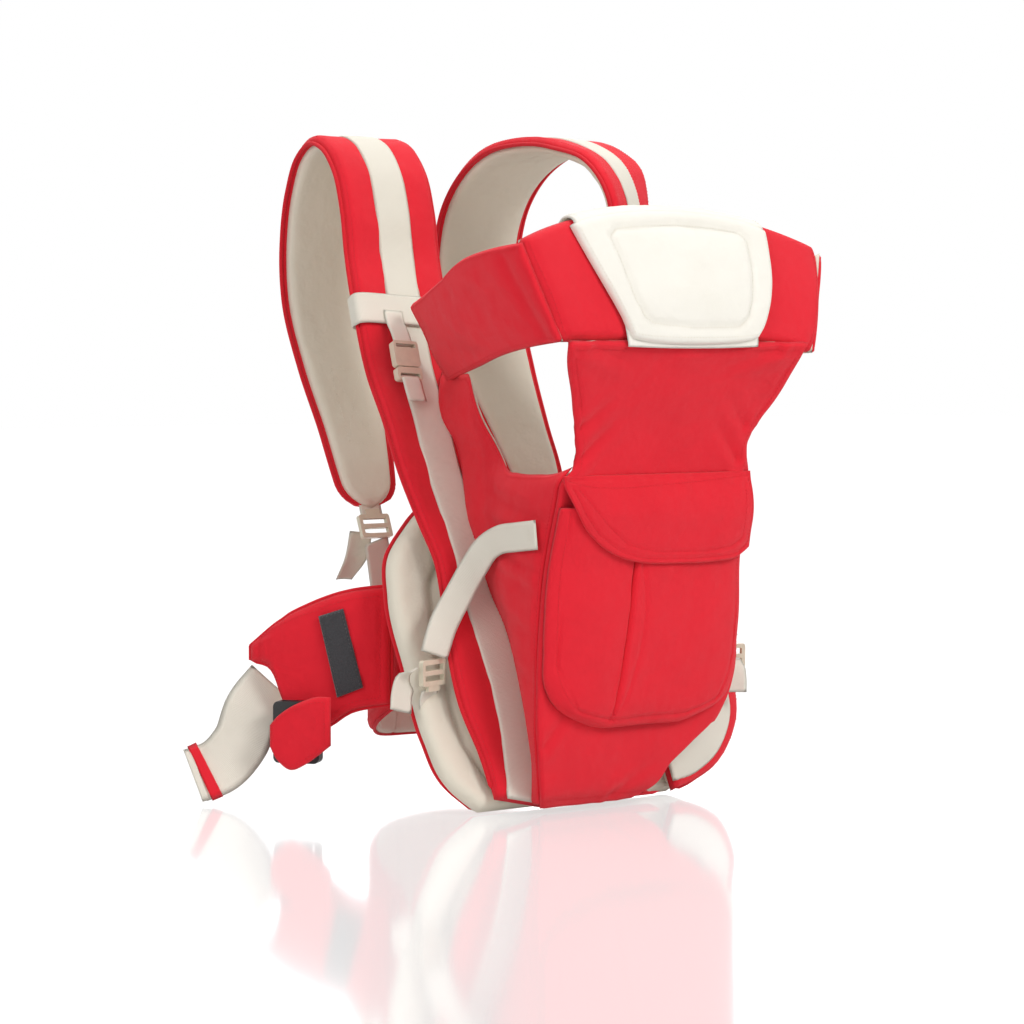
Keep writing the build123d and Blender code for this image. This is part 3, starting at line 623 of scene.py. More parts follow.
# ---- the pieces
def seat():
    """The seat panel: a cream quilted pad in front, a red cover behind, and a red bead round the rim."""
    z = np.linspace(0.6, 268, 90)
    u = np.linspace(-1, 1, 81)
    wide = np.where(u[None] < 0, smooth_at(SEAT_WIDE, z)[:, None], smooth_at(SEAT_RIGHT, z)[:, None])
    mid = np.stack([wide * u, np.repeat((seat_y(z) + 8)[:, None], 81, 1), np.repeat(z[:, None], 81, 1)], -1)
    channels = []
    for s in (0, 1):
        rolled = [(abs(s - 0.115), 0.03), (abs(s - 0.10), 0.2), (abs(s - 0.10), 0.45), (abs(s - 0.12), 0.7),
                  (abs(s - 0.17), 0.93)]
        channels.append((rolled, 4.5, 4.0))
        channels.append(([(s, 0.36), (abs(s - 0.1), 0.355)], 2.0, 2.0))
    for v in (0.3, 0.55, 0.8):
        channels.append(([(0.14, v), (0.86, v)], 2.5, 3.0))
    front = slab("seat_lining_pad", mid, 11.0, 6.0, "pouch", "cream_cloth", edge=13, seams=channels,
                 wrinkle=(1.1, 26), replaces=("seat_lining", "seat_foam"))
    sew(front, "cream_thread", *lines_of(channels[:4:2]))
    back = mid * (0.985, 1, 0.994) + (0, 6.4, 0.8)
    rear = slab("seat_cover_pad", back, 0.4, 4.6, "pouch", "red_cloth", edge=6,
                replaces=("seat_cover",))
    sew(rear, "red_thread", *inset_loop(back, 9, "lrt"), side=-1)
    rim = np.concatenate([back[:, 0], back[-1, 1:-1], back[::-1, -1]])
    tube("seat_rim_bead", rim, 2.0, "pouch", "red_piping")


def pouch_face():
    """The pouch's front from its bottom hem to the neck fold, with its cream lining."""
    z = np.concatenate([np.linspace(4, 60, 24)[:-1], np.linspace(60, 401, 96)])
    u = np.linspace(0, 1, 66)
    left, right = smooth_at(FACE_LEFT, z), smooth_at(FACE_RIGHT, z)
    x = left[:, None] + (right - left)[:, None] * u
    mid = face(x, np.repeat(z[:, None], len(u), 1))
    neck = ramp((z - 285) / 115)[:, None]
    lift = (1.6 * noise(mid, 58, 11) + 0.7 * noise(mid, 24, 5)) * (0.5 + neck)
    for x0, z0, dx, dz, deep in ((-88, 300, 40, 42, 2.6), (-90, 330, 34, 30, 2.0), (88, 300, -40, 42, 2.6),
                                 (90, 330, -34, 30, 2.0), (-100, 396, 60, -18, 2.2), (100, 396, -60, -18, 2.2),
                                 (-100, 60, 30, 40, 1.6), (-20, 12, 40, 26, 1.6)):
        a, b = np.array((x0, z0)), np.array((x0 + dx, z0 + dz))
        p = mid[..., (0, 2)]
        t = ramp(((p - a) @ (b - a)) / ((b - a) @ (b - a)))
        gap = np.linalg.norm(p - (a + t[..., None] * (b - a)), axis=-1)
        lift -= deep * (1 - t) * bell(gap, 4.5)
        lift += 0.6 * deep * (1 - t) * bell(gap - 9, 5)
    hems = [([(0.035, 0.72), (0.04, 0.84), (0.035, 0.97)], 1.6, 1.8), ([(0.965, 0.72), (0.96, 0.84),
                                                                        (0.965, 0.97)], 1.6, 1.8),
            ([(0.03, 0.985), (0.97, 0.985)], 2.2, 2.5), ([(0.02, 0.03), (0.98, 0.03)], 1.2, 1.8)]
    s = slab("pouch_face_cloth", mid, 3.0, 2.0, "pouch", "red_cloth", edge=3.5, seams=hems, lift=lift,
             replaces=("front_panel",))
    sew(s, "red_thread", *lines_of(hems))
    slab("pouch_face_lining", mid[3:, 1:-1] + (0, 3.4, 0), 0.6, 1.6, "pouch", "cream_cloth", edge=2,
         replaces=("front_lining",), lift=(lift * 0.8)[3:, 1:-1])


def pouch_floor():
    """The narrow strip under the baby, from the face's hem to the seat panel."""
    x = np.linspace(-86, 44, 40)
    y = np.linspace(0, 1, 7)
    front = np.stack([x, 0 * x - 3, 0 * x + 7.5], 1)
    rear = np.stack([x, 0 * x + 20, 0 * x + 7.0], 1)
    mid = front[None] + y[:, None, None] * (rear - front)[None]
    mid[..., 2] -= 3 * np.sin(np.pi * y)[:, None]
    slab("pouch_bottom_strip", mid, 1.2, 1.2, "pouch", "red_cloth", edge=1.5)


def side_cloth(side, name):
    """The gusset, a bowed cloth between the face's edge and the strap, its top edge dropping round the arm hole."""
    s = np.linspace(0, 1, 60)
    top = smooth_at([(0, 296), (0.07, 291), (0.23, 288.5), (0.41, 288.5), (0.52, 291), (0.575, 297), (0.61, 306),
                     (0.66, 330), (0.70, 352), (0.725, 366), (0.8, 372), (1, 374)], s)
    low = 7.0 if side < 0 else 66.0
    v = np.linspace(0, 1, 84)
    z = low + v[:, None] * (top - low)[None]
    edge_x = smooth_at(FACE_LEFT if side < 0 else FACE_RIGHT, z) - side * 1.5
    a = np.stack([edge_x, front_y(z) + 1.0, z], -1)
    b = strap_rear(side, z) if side > 0 else np.stack([smooth_at(SIDE_SEAM[:, (2, k)], z) for k in (0, 1, 2)], -1)
    mid = a + s[None, :, None] * (b - a)
    bow = np.sin(np.pi * s)[None] * (7.0 * bell(z - 150, 120) + 1.5)
    mid[..., 0] += side * bow
    lift = 1.5 * noise(mid * (1, 1, 0.55), 21, 31) + 2.0 * noise(mid * (1, 1, 0.5), 52, 8)
    for z0, depth in ((232, 3.2), (214, 2.6), (196, 2.2), (258, 2.2), (160, 1.6), (120, 1.2)):
        fold = bell(z - z0 - 26 * (s[None] - 0.3), 6.0) * bell(s[None] - 0.35, 0.32)
        lift -= depth * fold
        lift += 0.7 * depth * bell(z - z0 - 11 - 26 * (s[None] - 0.3), 6.0) * bell(s[None] - 0.35, 0.3)
    lift *= ramp(s / 0.08)[None] * ramp((1 - s) / 0.06)[None]
    if side < 0:
        mid, lift = mid[:, ::-1], lift[:, ::-1]
    piece = slab(f"{name}_side_cloth", mid, 1.6, 1.2, "pouch", "red_cloth", edge=2.0, lift=lift,
                 replaces=(f"{name}_side_panel",))
    inner = mid.copy()
    inner[..., 0] -= side * 3.0
    slab(f"{name}_side_lining", inner[1:-1], 0.7, 1.0, "pouch", "cream_cloth", edge=1.5, lift=lift[1:-1] * 0.9)
    rear_u, front_u = (0.03, 0.97) if side < 0 else (0.97, 0.03)
    sew(piece, "red_thread", [(rear_u, 0.02), (rear_u, 0.98)], [(front_u, 0.02), (front_u, 0.97)],
        [(0.04, 0.985), (0.96, 0.985)])


def pocket_half(x, z):
    """Half the pocket's width at a height, its left side fuller than its right, with rounded lower corners."""
    left = smooth_at([(71.5, 34), (74, 50), (78, 63), (84, 78), (88, 86), (97, 97), (108, 104), (142, 108),
                      (184, 107.5), (218, 105), (262, 102), (300, 101)], z)
    right = smooth_at([(71.5, 34), (74, 50), (77, 60), (82, 76), (88, 88), (103, 99), (130, 103), (262, 103),
                       (300, 103)], z)
    return np.where(x < 0, left, right)


def pocket_swell(x, z):
    """How far the pocket stands off the face: a plateau 14 mm high with round shoulders, and a pressed pleat, a lens
    of cloth standing on the right of a crease that runs down from under the flap."""
    wide = pocket_half(x, z)
    shoulder = np.sqrt(ramp(1 - (ramp(np.abs(x) / wide)) ** 6))
    rise = np.sqrt(ramp(1 - (1 - ramp((z - 71) / 30)) ** 2))
    crease = smooth_at([(72, -43), (103, -36), (146, -30), (211, -22), (262, -18)], z)
    ridge = smooth_at([(72, 3), (103, 8), (137, 14), (180, 13), (212, 7), (262, 4)], z)
    over = x - crease
    pleat = -2.2 * bell(np.minimum(over, 0), 12) * (over < 0)
    pleat = pleat + (over >= 0) * (2.4 * ramp(over / 2.0) - 2.2) * bell(np.maximum(over - ridge, 0), 16)
    pleat -= 2.6 * bell(over + 0.4, 1.7) + 1.0 * bell(over - ridge, 3.2)
    return shoulder * rise * (12.5 + pleat * ramp((z - 74) / 26))


def pocket():
    """The pocket, a bag of one cloth sewn to the face on three sides and open under its flap."""
    z = np.linspace(71.5, 262, 110)
    u = np.linspace(-1, 1, 221)
    zz = np.repeat(z[:, None], len(u), 1)
    x = pocket_half(u[None] + 0 * zz, zz) * u
    mid = face(x, zz, pocket_swell(x, zz) + 3.6)
    lift = 1.1 * noise(mid, 34, 17) + 0.5 * noise(mid, 15, 2)
    lift *= fade(mid, 14)
    border = [([(0.035, 0.98), (0.04, 0.3), (0.075, 0.10), (0.2, 0.045), (0.8, 0.045), (0.925, 0.10), (0.96, 0.3),
                (0.965, 0.98)], 1.2, 1.6)]
    piece = slab("pocket_bag", mid, 1.3, 1.0, "pouch", "red_cloth", edge=1.6, seams=border, lift=lift,
                 replaces=("pocket",))
    sew(piece, "red_thread", border[0][0])


def flap():
    """The pocket flap: hangs from its seam over the pocket's mouth, its lower edge one long curve."""
    edge = [(-102, 283), (-99, 274), (-96, 267), (-88, 251), (-72, 234), (-48, 220), (-20, 213), (20, 211), (65, 211),
            (90, 214), (106, 222)]
    x = np.linspace(-102, 106, 100)
    low = smooth_at(edge, x)
    v = np.linspace(0, 1, 50)
    z = low[None] + v[:, None] * (288.5 - low)[None]
    x = np.repeat(x[None], len(v), 0)
    out = smooth_at([(205, 20.5), (240, 19.5), (258, 18), (270, 13.5), (280, 8), (289, 3.6)], z)
    out = out * (1 - 0.3 * np.abs(x / 107) ** 8)
    mid = face(x, z, out)
    lift = 1.5 * noise(mid, 38, 23) * fade(mid, 20) + 0.5 * noise(mid, 13, 9)

    def on(points):
        return [((a + 102) / 208, (b - smooth_at(edge, a)) / (288.5 - smooth_at(edge, a))) for a, b in points]
    rim = on([(-94, 278), (-84, 256), (-69, 239), (-46, 225), (-20, 217.5), (20, 215.5), (65, 215.5), (88, 218),
              (101, 226), (102, 282)])
    inner = on([(-88, 277), (-76, 262), (-60, 246), (-38, 230), (-4, 222.5), (52, 221), (78, 224), (92, 231),
                (95, 276)])
    lines = [(rim, 1.0, 1.5), (inner, 0.8, 1.3), (on([(-97, 284.5), (102, 284.5)]), 1.6, 1.8)]
    piece = slab("pocket_flap_cloth", mid, 1.8, 1.2, "pocket_flap", "red_cloth", edge=2.2, seams=lines, lift=lift,
                 replaces=("pocket_flap",))
    sew(piece, "red_thread", *lines_of(lines))
    tape = face(*np.meshgrid(np.linspace(-22, 22, 12), np.linspace(214, 232, 8)), 17.6)
    slab("flap_tape_patch", tape, 0.7, 0.5, "pocket_flap", "black_tape", edge=1, replaces=("flap_hook_tape",))


def head_grid(out):
    """The head rest's middle surface: a trapezoid leaning forward, its top edge arched."""
    u = np.linspace(-1, 1, 84)
    top = 511 - 29 * np.abs(u) ** 2.2
    low = 399.5 - 9 * ramp((u - 0.5) / 0.5) ** 1.5
    v = np.linspace(0, 1, 44)
    z = low[None] + v[:, None] * (top - low)[None]
    x = u[None] * np.where(u < 0, smooth_at(HEAD_LEFT, z), smooth_at(HEAD_RIGHT, z))
    droop = 5 * ramp((u[None] - 0.4) / 0.6) * (1 - v[:, None])
    y = smooth_at(HEAD, z) + 4.0 * (np.abs(u) ** 2)[None] + out - droop
    return np.stack([x, y, z], -1)


def head_rest():
    """The head rest pad and lining, its two wings, and the part of the bib that wraps over the top."""
    mid = head_grid(7.5)
    lift = 1.4 * noise(mid, 46, 41) * fade(mid, 20)
    seams = [([(0.03, 0.03), (0.97, 0.03)], 2.0, 2.4), ([(0.022, 0.05), (0.018, 0.95)], 2.0, 2.2),
             ([(0.978, 0.05), (0.982, 0.95)], 2.0, 2.2)]
    pad = slab("head_rest_cushion", mid, 7.5, 1.0, "head_rest", "red_cloth", edge=9, seams=seams, lift=lift,
               replaces=("head_rest_pad",))
    sew(pad, "red_thread", *lines_of(seams))
    slab("head_rest_inner", mid, 0.6, 8.5, "head_rest", "cream_cloth", edge=10,
         replaces=("head_rest_lining",))
    wings = {-1: [(-131, -88, 400, -156, -66, 480.5), (-133, -52, 396, -159, -32, 477),
                  (-128, -8, 390, -155, 14, 470), (-111, 54, 379, -141, 68, 453), (-92, 108, 371, -120, 124, 441),
                  (-73, 150, 365, -100, 170, 434)], 1: [(141, -90, 391, 166, -72, 478),
                                                        (149, -62, 390, 170, -50, 473),
                                                        (150, -36, 389, 170, -26, 466),
                                                        (146, 14, 387, 163, 22, 452), (136, 62, 380, 150, 66, 434),
                                                        (124, 108, 376, 139, 112, 420)]}
    for side, name in SIDES:
        rows = through(wings[side], 74)
        v = np.linspace(0, 1, 36)
        grid = rows[None, :, :3] + v[:, None, None] * (rows[:, 3:] - rows[:, :3])[None]
        s = np.linspace(0, 1, 74)[None]
        bow = 6 * np.sin(np.pi * v)[:, None] * np.sin(np.pi * s) ** 0.7
        grid[..., 0] += side * bow
        folds = 2.2 * noise(grid * (1, 0.5, 1.3), 30, 51) + 1.0 * noise(grid, 13, 6)
        folds -= 3.0 * bell(s - 0.06 - 0.05 * v[:, None], 0.03)
        folds = folds * fade(grid, 12)
        if side < 0:
            grid, folds = grid[:, ::-1], folds[:, ::-1]
        hem = [([(0.03, 0.05), (0.97, 0.05)], 1.4, 2), ([(0.03, 0.95), (0.97, 0.95)], 1.4, 2)]
        wing = slab(f"{name}_wing_cloth", grid, 3.6, 0.6, "head_rest", "red_cloth", edge=4, seams=hem, lift=folds,
                    replaces=(f"{name}_head_wing",))
        slab(f"{name}_wing_lining", grid, 0.5, 3.2, "head_rest", "cream_cloth", edge=4, lift=folds)
        sew(wing, "red_thread", *lines_of(hem))
        end = 0.03 if side < 0 else 0.97
        sew(wing, "red_thread", [(end, 0.06), (end, 0.94)])
    u = np.linspace(-1, 1, 60)
    top = 511 - 29 * np.abs(u * 104 / 158) ** 2.2
    a = np.linspace(0, 1, 44)
    turn = ramp(a / 0.42) * np.pi
    radius = 11.0
    y = smooth_at(HEAD, top)[None] + 8.0 - (radius * np.cos(turn))[:, None] + 0 * u[None]
    z = top[None] - 4 + ((radius * 0.62) * np.sin(turn))[:, None]
    down = ramp((a - 0.42) / 0.58)[:, None] * 58
    z = z - down
    y = y + (smooth_at(HEAD, top[None] - 4 - down) - smooth_at(HEAD, top[None] - 4))
    wrap = np.stack([np.repeat((u * 104)[None], len(a), 0), y, z], -1)
    back = slab("bib_back_part", wrap, 1.8, 0.8, "head_rest", "bib_cloth", edge=2.5, wrinkle=(0.3, 12),
                replaces=("bib_back_tab",))
    sew(back, "cream_thread", *inset_loop(wrap, 6, "lr"))


def bib():
    """The drool bib: a quilted pad with a wide bound border, hanging over the head rest's face, on a thin backing
    that shows below it."""
    u = np.linspace(-1, 1, 84)
    top = 510 - 29 * np.abs(u * 106 / 158) ** 2.2 - 3 * np.abs(u) ** 8
    low = 400 - 3.0 * (1 - np.abs(u) ** 2) + 2.5 * np.abs(u) ** 10
    v = np.linspace(0, 1, 50)
    z = low[None] + v[:, None] * (top - low)[None]
    left = smooth_at([(397, 59), (401, 63), (422, 74), (451, 89), (479, 102), (501, 110), (512, 112)], z)
    right = smooth_at([(397, 61), (400, 68), (406, 75), (428, 90), (445, 97), (479, 103), (501, 104.5),
                       (512, 105)], z)
    x = u[None] * np.where(u < 0, left, right)
    y = smooth_at(HEAD, z) + 4.0 * np.abs(x / 155) ** 2 - 2.4
    mid = np.stack([x, y, z], -1)
    border = [(0.20, 0.155), (0.15, 0.20), (0.135, 0.34), (0.15, 0.60), (0.155, 0.82), (0.20, 0.87), (0.5, 0.885),
              (0.84, 0.88), (0.875, 0.83), (0.875, 0.60), (0.875, 0.34), (0.865, 0.20), (0.82, 0.13), (0.5, 0.125),
              (0.20, 0.155)]
    cross = 2.4 * ramp(1 - (u / 0.8) ** 4)[None] * ramp(1 - ((v - 0.52) / 0.36) ** 4)[:, None]
    seams = [(border, 3.2, 2.6)]
    s = slab("drool_bib_pad", mid, 6.2 + cross, 0.6, "bib", "bib_cloth", edge=6.5, seams=seams, wrinkle=(0.45, 17),
             replaces=("drool_bib",))
    sew(s, "cream_thread", border, [(0.03, 0.05), (0.97, 0.05)], *[[(a, 0.05), (a, 0.93)] for a in (0.022, 0.978)])
    xx, zz = np.meshgrid(np.linspace(-71, 76, 50), np.linspace(394.5, 412, 9))
    trim = np.stack([xx * (0.97 + (zz - 394) * 0.0012), smooth_at(HEAD, zz) - 1.6 + 0 * xx,
                     zz + 1.5 * (xx / 76) ** 2], -1)
    slab("bib_backing", trim, 0.6, 0.5, "bib", "bib_cloth", edge=1)


def shoulder_strap(side, name):
    """A padded strap: red cover over the outside, cream quilted lining inside, the webbing stripe sewn down its
    middle, and a red bead along both edges."""
    mid = strap_grid(side)
    cover = slab(f"{name}_strap_pad", mid, 7.4, 1.4, "pouch", "red_cloth", edge=8, wrinkle=(0.55, 24),
                 seams=[([(0.31, 0), (0.31, 1)], 0.9, 2.0), ([(0.69, 0), (0.69, 1)], 0.9, 2.0)],
                 replaces=(f"{name}_strap_cover", f"{name}_strap_foam"))
    sew(cover, "red_thread", *[[(a, 0.01), (a, 0.95)] for a in (0.045, 0.955)])
    inner = strap_grid(side, inset=4.5, off=-0.6)
    rows = inner.shape[0]
    bend = np.abs(np.gradient(unit(np.gradient(inner[:, 12], axis=0)), axis=0)).sum(axis=1)
    v = np.arange(rows)
    pucker = np.clip(bend * 18, 0, 1.3)[:, None] * np.sin(v / 1.9 + 2.2 * noise(inner, 40, 4)[:, 12])[:, None]
    x = np.linspace(-1, 1, inner.shape[1])[None]
    quilt = [([(0.3, 0.0), (0.3, 0.47), (0.34, 0.56), (0.42, 0.66)], 1.8, 2.4),
             ([(0.7, 0.0), (0.7, 0.47), (0.66, 0.56), (0.60, 0.66)], 1.8, 2.4),
             ([(0.3, 0.47), (0.7, 0.47)], 1.6, 2.2)]
    lining = slab(f"{name}_strap_inner", inner[:, ::-1], 6.2, 0.4, "pouch", "cream_cloth", edge=9, seams=quilt,
                  wrinkle=(0.5, 20), replaces=(f"{name}_strap_lining",),
                  lift=(pucker * 0.55 * (1 - x ** 2)))
    sew(lining, "cream_thread", *lines_of(quilt))
    for a, b in ((0.865, 0.94) if side < 0 else (0.255, 0.30),):
        sew(lining, "cream_thread", [(0.3, a), (0.7, a)], [(0.3, b), (0.7, b)], [(0.3, a), (0.3, b)],
            [(0.7, a), (0.7, b)], [(0.3, a), (0.7, b)], [(0.7, a), (0.3, b)])
    stripe = slab(f"{name}_strap_webbing_stripe", strap_grid(side, off=7.3, limit=37, n=13), 1.3, 0.8, "pouch",
                  "webbing", edge=0.8, replaces=(f"{name}_strap_stripe",))
    sew(stripe, "cream_thread", *[[(a, 0), (a, 0.975)] for a in (0.06, 0.94)])
    for k in (0, -1):
        tube(f"{name}_strap_bead_{'ab'[k]}", strap_grid(side)[2:-1, k], 1.9, "pouch", "red_piping")


def middle(node_name):
    """The middle of a CAD piece's box, in drawing mm."""
    return (np.array(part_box(node_name)) / MM - PLACE).mean(axis=0)


def keeper(side, name):
    """The webbing loop round the strap that holds the wing, its short tabs, and their stitches."""
    c, across, normal, _ = strap_frame(side)
    centre = middle(f"{name}_keeper_loop")
    i = int(np.argmin(np.linalg.norm(c[:120] - centre, axis=1)))
    along = unit(c[i + 1] - c[i - 1])
    a = np.linspace(0, 2 * np.pi, 97) + 0.2
    ca, sa = np.cos(a), np.sin(a)
    x = 52.6 * np.sign(ca) * np.abs(ca) ** 0.28
    y = 1.25 + 9.9 * np.sign(sa) * np.abs(sa) ** 0.5
    ring = c[i] + across[i] * x[:, None] + normal[i] * y[:, None]
    w = np.linspace(-14.5, 14.5, 11)
    mid = ring[:, None] + along * w[None, :, None]
    loop = slab(f"{name}_keeper_band", mid, 0.8, 0.8, f"{name}_keeper", "webbing", edge=0.6,
                replaces=(f"{name}_keeper_loop",))
    sew(loop, "cream_thread", *[[(u, 0.01), (u, 0.99)] for u in (0.09, 0.91)])
    socket = middle(f"{name}_wing_buckle_socket")
    top = c[i] + normal[i] * 11.6 + across[i] * (18 * side) - along * 12
    slot = socket + along * 8.2
    webbing(f"{name}_keeper_tab", [top + along * 10 + normal[i] * 1.5, top + normal[i] * 1.7,
                                   (top + slot) / 2 + normal[i] * 2.0, slot + normal[i] * 1.0], [across[i]] * 4,
            20, f"{name}_keeper")
    plug = middle(f"{name}_wing_buckle_plug")
    tail = plug - along * 6
    webbing(f"{name}_plug_tab", [tail + normal[i] * 0.5, tail + normal[i] * 3.5 - along * 6,
                                 tail + normal[i] * 5 - along * 16, tail + normal[i] * 7 - along * 27],
            [across[i]] * 4, 20, f"{name}_wing_plug")


def upright_grid(stations, n=40, m=26, flip=False):
    """Upright cloth through (x, y, lower z, upper z) stations."""
    rows = through(stations, n)
    v = np.linspace(0, 1, m)
    z = rows[None, :, 2] + v[:, None] * (rows[:, 3] - rows[:, 2])[None]
    grid = np.stack([np.repeat(rows[None, :, 0], m, 0), np.repeat(rows[None, :, 1], m, 0), z], -1)
    return grid[:, ::-1] if flip else grid


def rim_of(grid):
    """Every second point round a grid's rim."""
    return np.concatenate([grid[0], grid[1:, -1], grid[-1, ::-1], grid[::-1, 0]])[::2]


def belt():
    """The waist belt: the lumbar part bowed behind the seat and a padded wing each side, red outside and cream
    inside, beaded round the rim."""
    wings = {-1: [(-147, 135, 84, 188), (-176, 154, 78, 184), (-195, 172.5, 63, 176), (-212, 190, 66, 165),
                  (-219, 198, 90, 158), (-228, 208, 117, 148), (-238, 221, 121, 134)],
             1: [(147, 135, 84, 184), (169, 160, 66, 170), (176, 197, 46, 142), (165, 228, 28, 104),
                 (152, 243, 28, 84), (147, 247, 46, 64)]}
    for side, name in SIDES:
        grid = upright_grid(wings[side], 60, 40, flip=side < 0)
        lift = (1.5 * noise(grid, 30, 61) + 0.8 * noise(grid, 13, 12)) * fade(grid, 14)
        cover = slab(f"{name}_belt_wing", grid, 7.4, 0.5, f"{name}_belt", "red_cloth", edge=10, lift=lift,
                     replaces=(f"{name}_belt_cover", f"{name}_belt_foam"),
                     seams=[(path, 1.5, 2.0) for path in inset_loop(grid, 8)])
        sew(cover, "red_thread", *inset_loop(grid, 8))
        slab(f"{name}_belt_inner", grid, 0.4, 6.6, f"{name}_belt", "cream_cloth", edge=9, lift=lift,
             replaces=(f"{name}_belt_lining",))
        tube(f"{name}_belt_bead", rim_of(grid), 1.7, f"{name}_belt", "red_piping")
    near = [(-130, 137, 88, 186), (-124, 190, 62, 160), (-92, 236, 44, 140), (-40, 262, 38, 132)]
    grid = upright_grid(near + [(-x, y, a, b) for x, y, a, b in near[::-1]], 90, 34)
    lift = 1.4 * noise(grid, 34, 71) * fade(grid, 14)
    channels = [([(a, 0.03), (a, 0.97)], 3.0, 3.0) for a in (0.2, 0.35, 0.5, 0.65, 0.8)]
    inner = slab("lumbar_inner", grid, 6.0, 0.4, "pouch", "cream_cloth", edge=8, lift=lift, seams=channels)
    sew(inner, "cream_thread", *lines_of(channels))
    outer = slab("lumbar_pad", grid, 0.4, 6.0, "pouch", "red_cloth", edge=8, lift=lift,
                 replaces=("belt_centre_pad",))
    sew(outer, "red_thread", *inset_loop(grid, 8), side=-1)
    tube("lumbar_bead", rim_of(grid), 1.6, "pouch", "red_piping")
    n = unit(np.array((-0.69, -0.72, 0)))
    a, b, e, f = (np.array(p, float) for p in ((-184, 162, 91), (-166, 148, 100), (-180, 158, 169), (-196, 173, 162)))
    u, v = np.linspace(0, 1, 16)[None, :, None], np.linspace(0, 1, 30)[:, None, None]
    tape = a * (1 - u) * (1 - v) + b * u * (1 - v) + e * u * v + f * (1 - u) * v
    patch = slab("belt_tape_patch", tape + n * 10.8, 1.1, 3.6, "left_belt", "black_tape", edge=1.0,
                 replaces=("belt_loop_tape",))
    sew(patch, "black_tape", *inset_loop(tape, 2.2))
    guard = upright_grid([(-205, 141, 52, 94), (-213, 151, 42, 94), (-219, 159, 35, 91), (-228, 171, 29.5, 84),
                          (-234, 179, 36, 77), (-239, 185.5, 50, 68)], 36, 34, flip=True)
    guard = guard + unit(np.array((-0.79, -0.61, 0))) * 4.5
    g = slab("buckle_guard_pad", guard, 3.4, 2.6, "left_belt", "red_cloth", edge=5, wrinkle=(0.9, 14),
             replaces=("buckle_guard",))
    sew(g, "red_thread", *inset_loop(guard, 5))


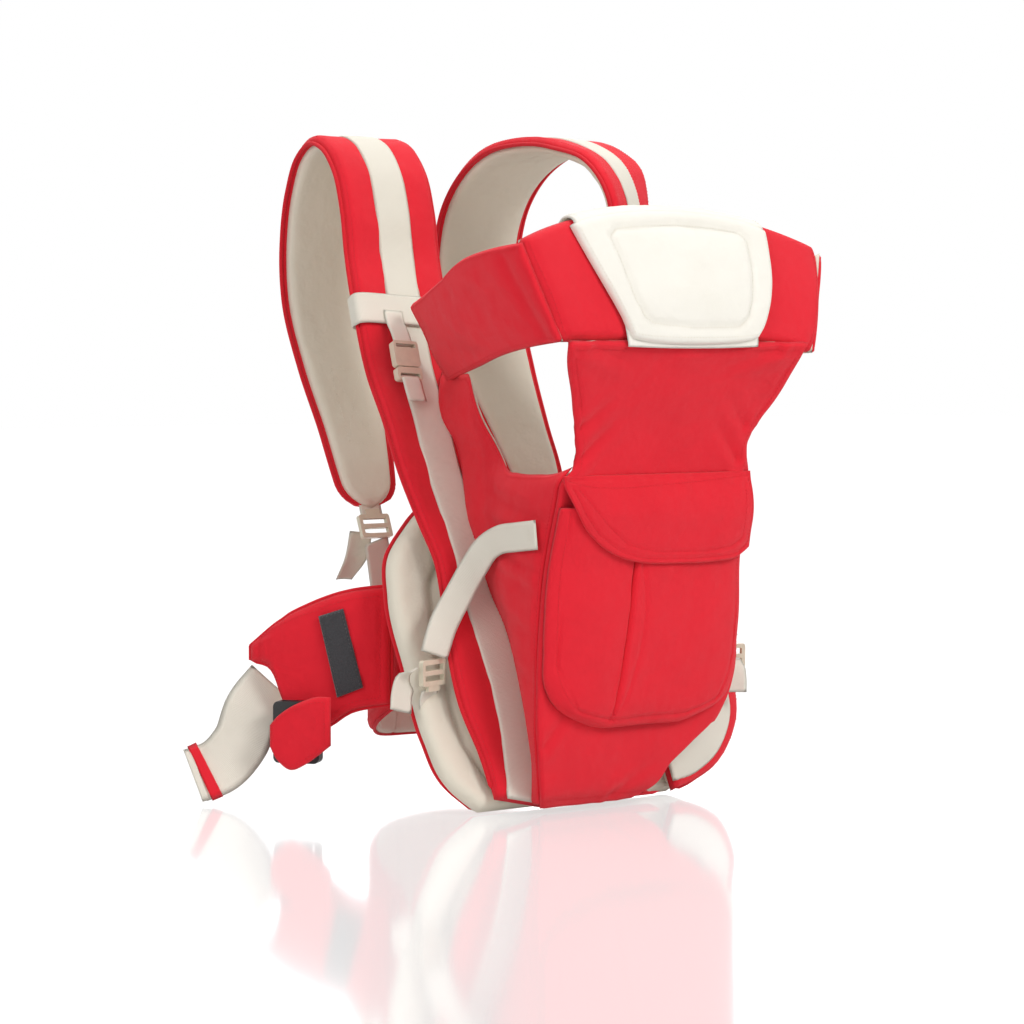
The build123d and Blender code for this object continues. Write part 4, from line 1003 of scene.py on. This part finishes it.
def straps_and_tails():
    """Every flat webbing: the belt's, the shoulder straps' lower ends and the pouch's side adjusters."""
    turned = (0.714, -0.538, -0.447)
    webbing("left_belt_strap", [(-217.3, 217, 100), (-238.9, 216, 79), (-251.9, 216, 50.5), (-270.7, 220, 31),
                                (-291.3, 226, 23.5)], [(0.47, -0.355, -0.81), (0.7, -0.53, -0.47),
                                                       (0.67, -0.51, -0.54), (0.665, -0.5, -0.55), turned], 50,
            "left_belt", 1.8, replaces=("left_belt_webbing",), curl=1.0)
    webbing("left_belt_end", [(-279.5, 222.6, 28.2), (-284, 223.9, 26.3), (-288, 225, 24.8)], [turned] * 3, 53.5,
            "left_belt", 4.8, look="red_cloth", replaces=("left_webbing_sleeve",))
    webbing("left_belt_tip", [(-288, 225, 24.8), (-294, 226.7, 23.2)], [turned] * 2, 50, "left_belt", 3.4, ends=False)
    right = (0.7, -0.5, 0.5)
    webbing("right_belt_strap", [(170, 246, 96), (177, 255, 71), (188, 262, 45)], [right] * 3, 50, "right_belt", 1.8,
            replaces=("right_belt_webbing",))
    for side, name in SIDES:
        webbing(f"{name}_strap_tie", [(side * 66, 260, 104), (side * 68, 259, 132), (side * 80, 246, 175),
                                      (side * 97, 231, 221)], [(1, side * -0.45, 0)] * 2 + [(1, 0, 0)] * 2, 25,
                "pouch", replaces=(f"{name}_strap_webbing",))
        webbing(f"{name}_strap_loose_end", [(side * 103, 247, 228), (side * 106, 250, 206), (side * 112, 262, 184)],
                [(1, 0, 0), (1, 0, 0), (0.9, 0.3, 0)], 25, "pouch", replaces=(f"{name}_strap_tail",), curl=1.0)
        webbing(f"{name}_strap_end_tab", [(side * 97.5, 243, 262), (side * 97.5, 239, 247),
                                          (side * 97.5, 235.5, 240)], [(1, 0, 0)] * 3, 24, "pouch")
        if side < 0:
            points = [(-113, -29, 239), (-115, -4, 236), (-115, 22, 232), (-115, 42, 222), (-120, 52, 206),
                      (-133, 55, 184), (-147, 57, 160), (-157, 57, 134)]
            tail = [(-172, 62, 123), (-179, 64, 116), (-186, 62, 106), (-191, 58, 88)]
            tab = [(-157, 62, 106), (-156, 67, 96), (-151, 72, 84)]
        else:
            points = [(105, 2, 234), (111, 12, 226), (118, 22, 208), (125, 28, 186), (131, 25, 160), (136, 16, 134)]
            tail = [(134, 6, 119), (133, 1, 112), (132, -1, 104), (131, -2, 88)]
            tab = [(136, 18, 106), (136, 28, 96), (137, 44, 84)]
        k = -side
        wide = [(0, 0, 1), (0, 0.1, 1), (0.2 * k, 0.5, 0.8), (0.3 * k, 0.9, 0.3), (0.3 * k, 0.95, 0),
                (0.95, 0.3 * k, 0)]
        if side < 0:
            wide = [(0, 0, 1), (0, 0.05, 1), (-0.05, 0.1, 1), (-0.3, 0.4, 0.86), (-0.5, 0.7, 0.5), (-0.7, 0.7, 0.1),
                    (-0.9, 0.5, 0), (-0.95, 0.3, 0)]
        webbing(f"{name}_side_adjuster", points, wide, 25, "pouch", replaces=(f"{name}_side_webbing",))
        webbing(f"{name}_side_loose_end", tail, [(0.8, 0.2 * k, 0.5 * k)] * 4, 24, "pouch",
                replaces=(f"{name}_side_tail",), curl=1.2)
        webbing(f"{name}_side_anchor", tab, [(0.95, 0.3 * k, 0)] * 3, 24, "pouch")


def plastics():
    """The clips and ladder locks keep their own shapes and take a moulded finish."""
    for name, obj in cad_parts.items():
        look = "black_plastic" if name.startswith("waist_buckle") else "cream_plastic"
        if name.startswith("waist_buckle") or "wing_buckle" in name or name.endswith("_lock"):
            obj.data.materials.clear()
            obj.data.materials.append(MATERIAL[look])


for make in (setting, seat, pouch_face, pouch_floor, pocket, flap, head_rest, bib, belt, straps_and_tails):
    make()
for hand, label in SIDES:
    side_cloth(hand, label)
    shoulder_strap(hand, label)
    keeper(hand, label)
plastics()
make_stitches()
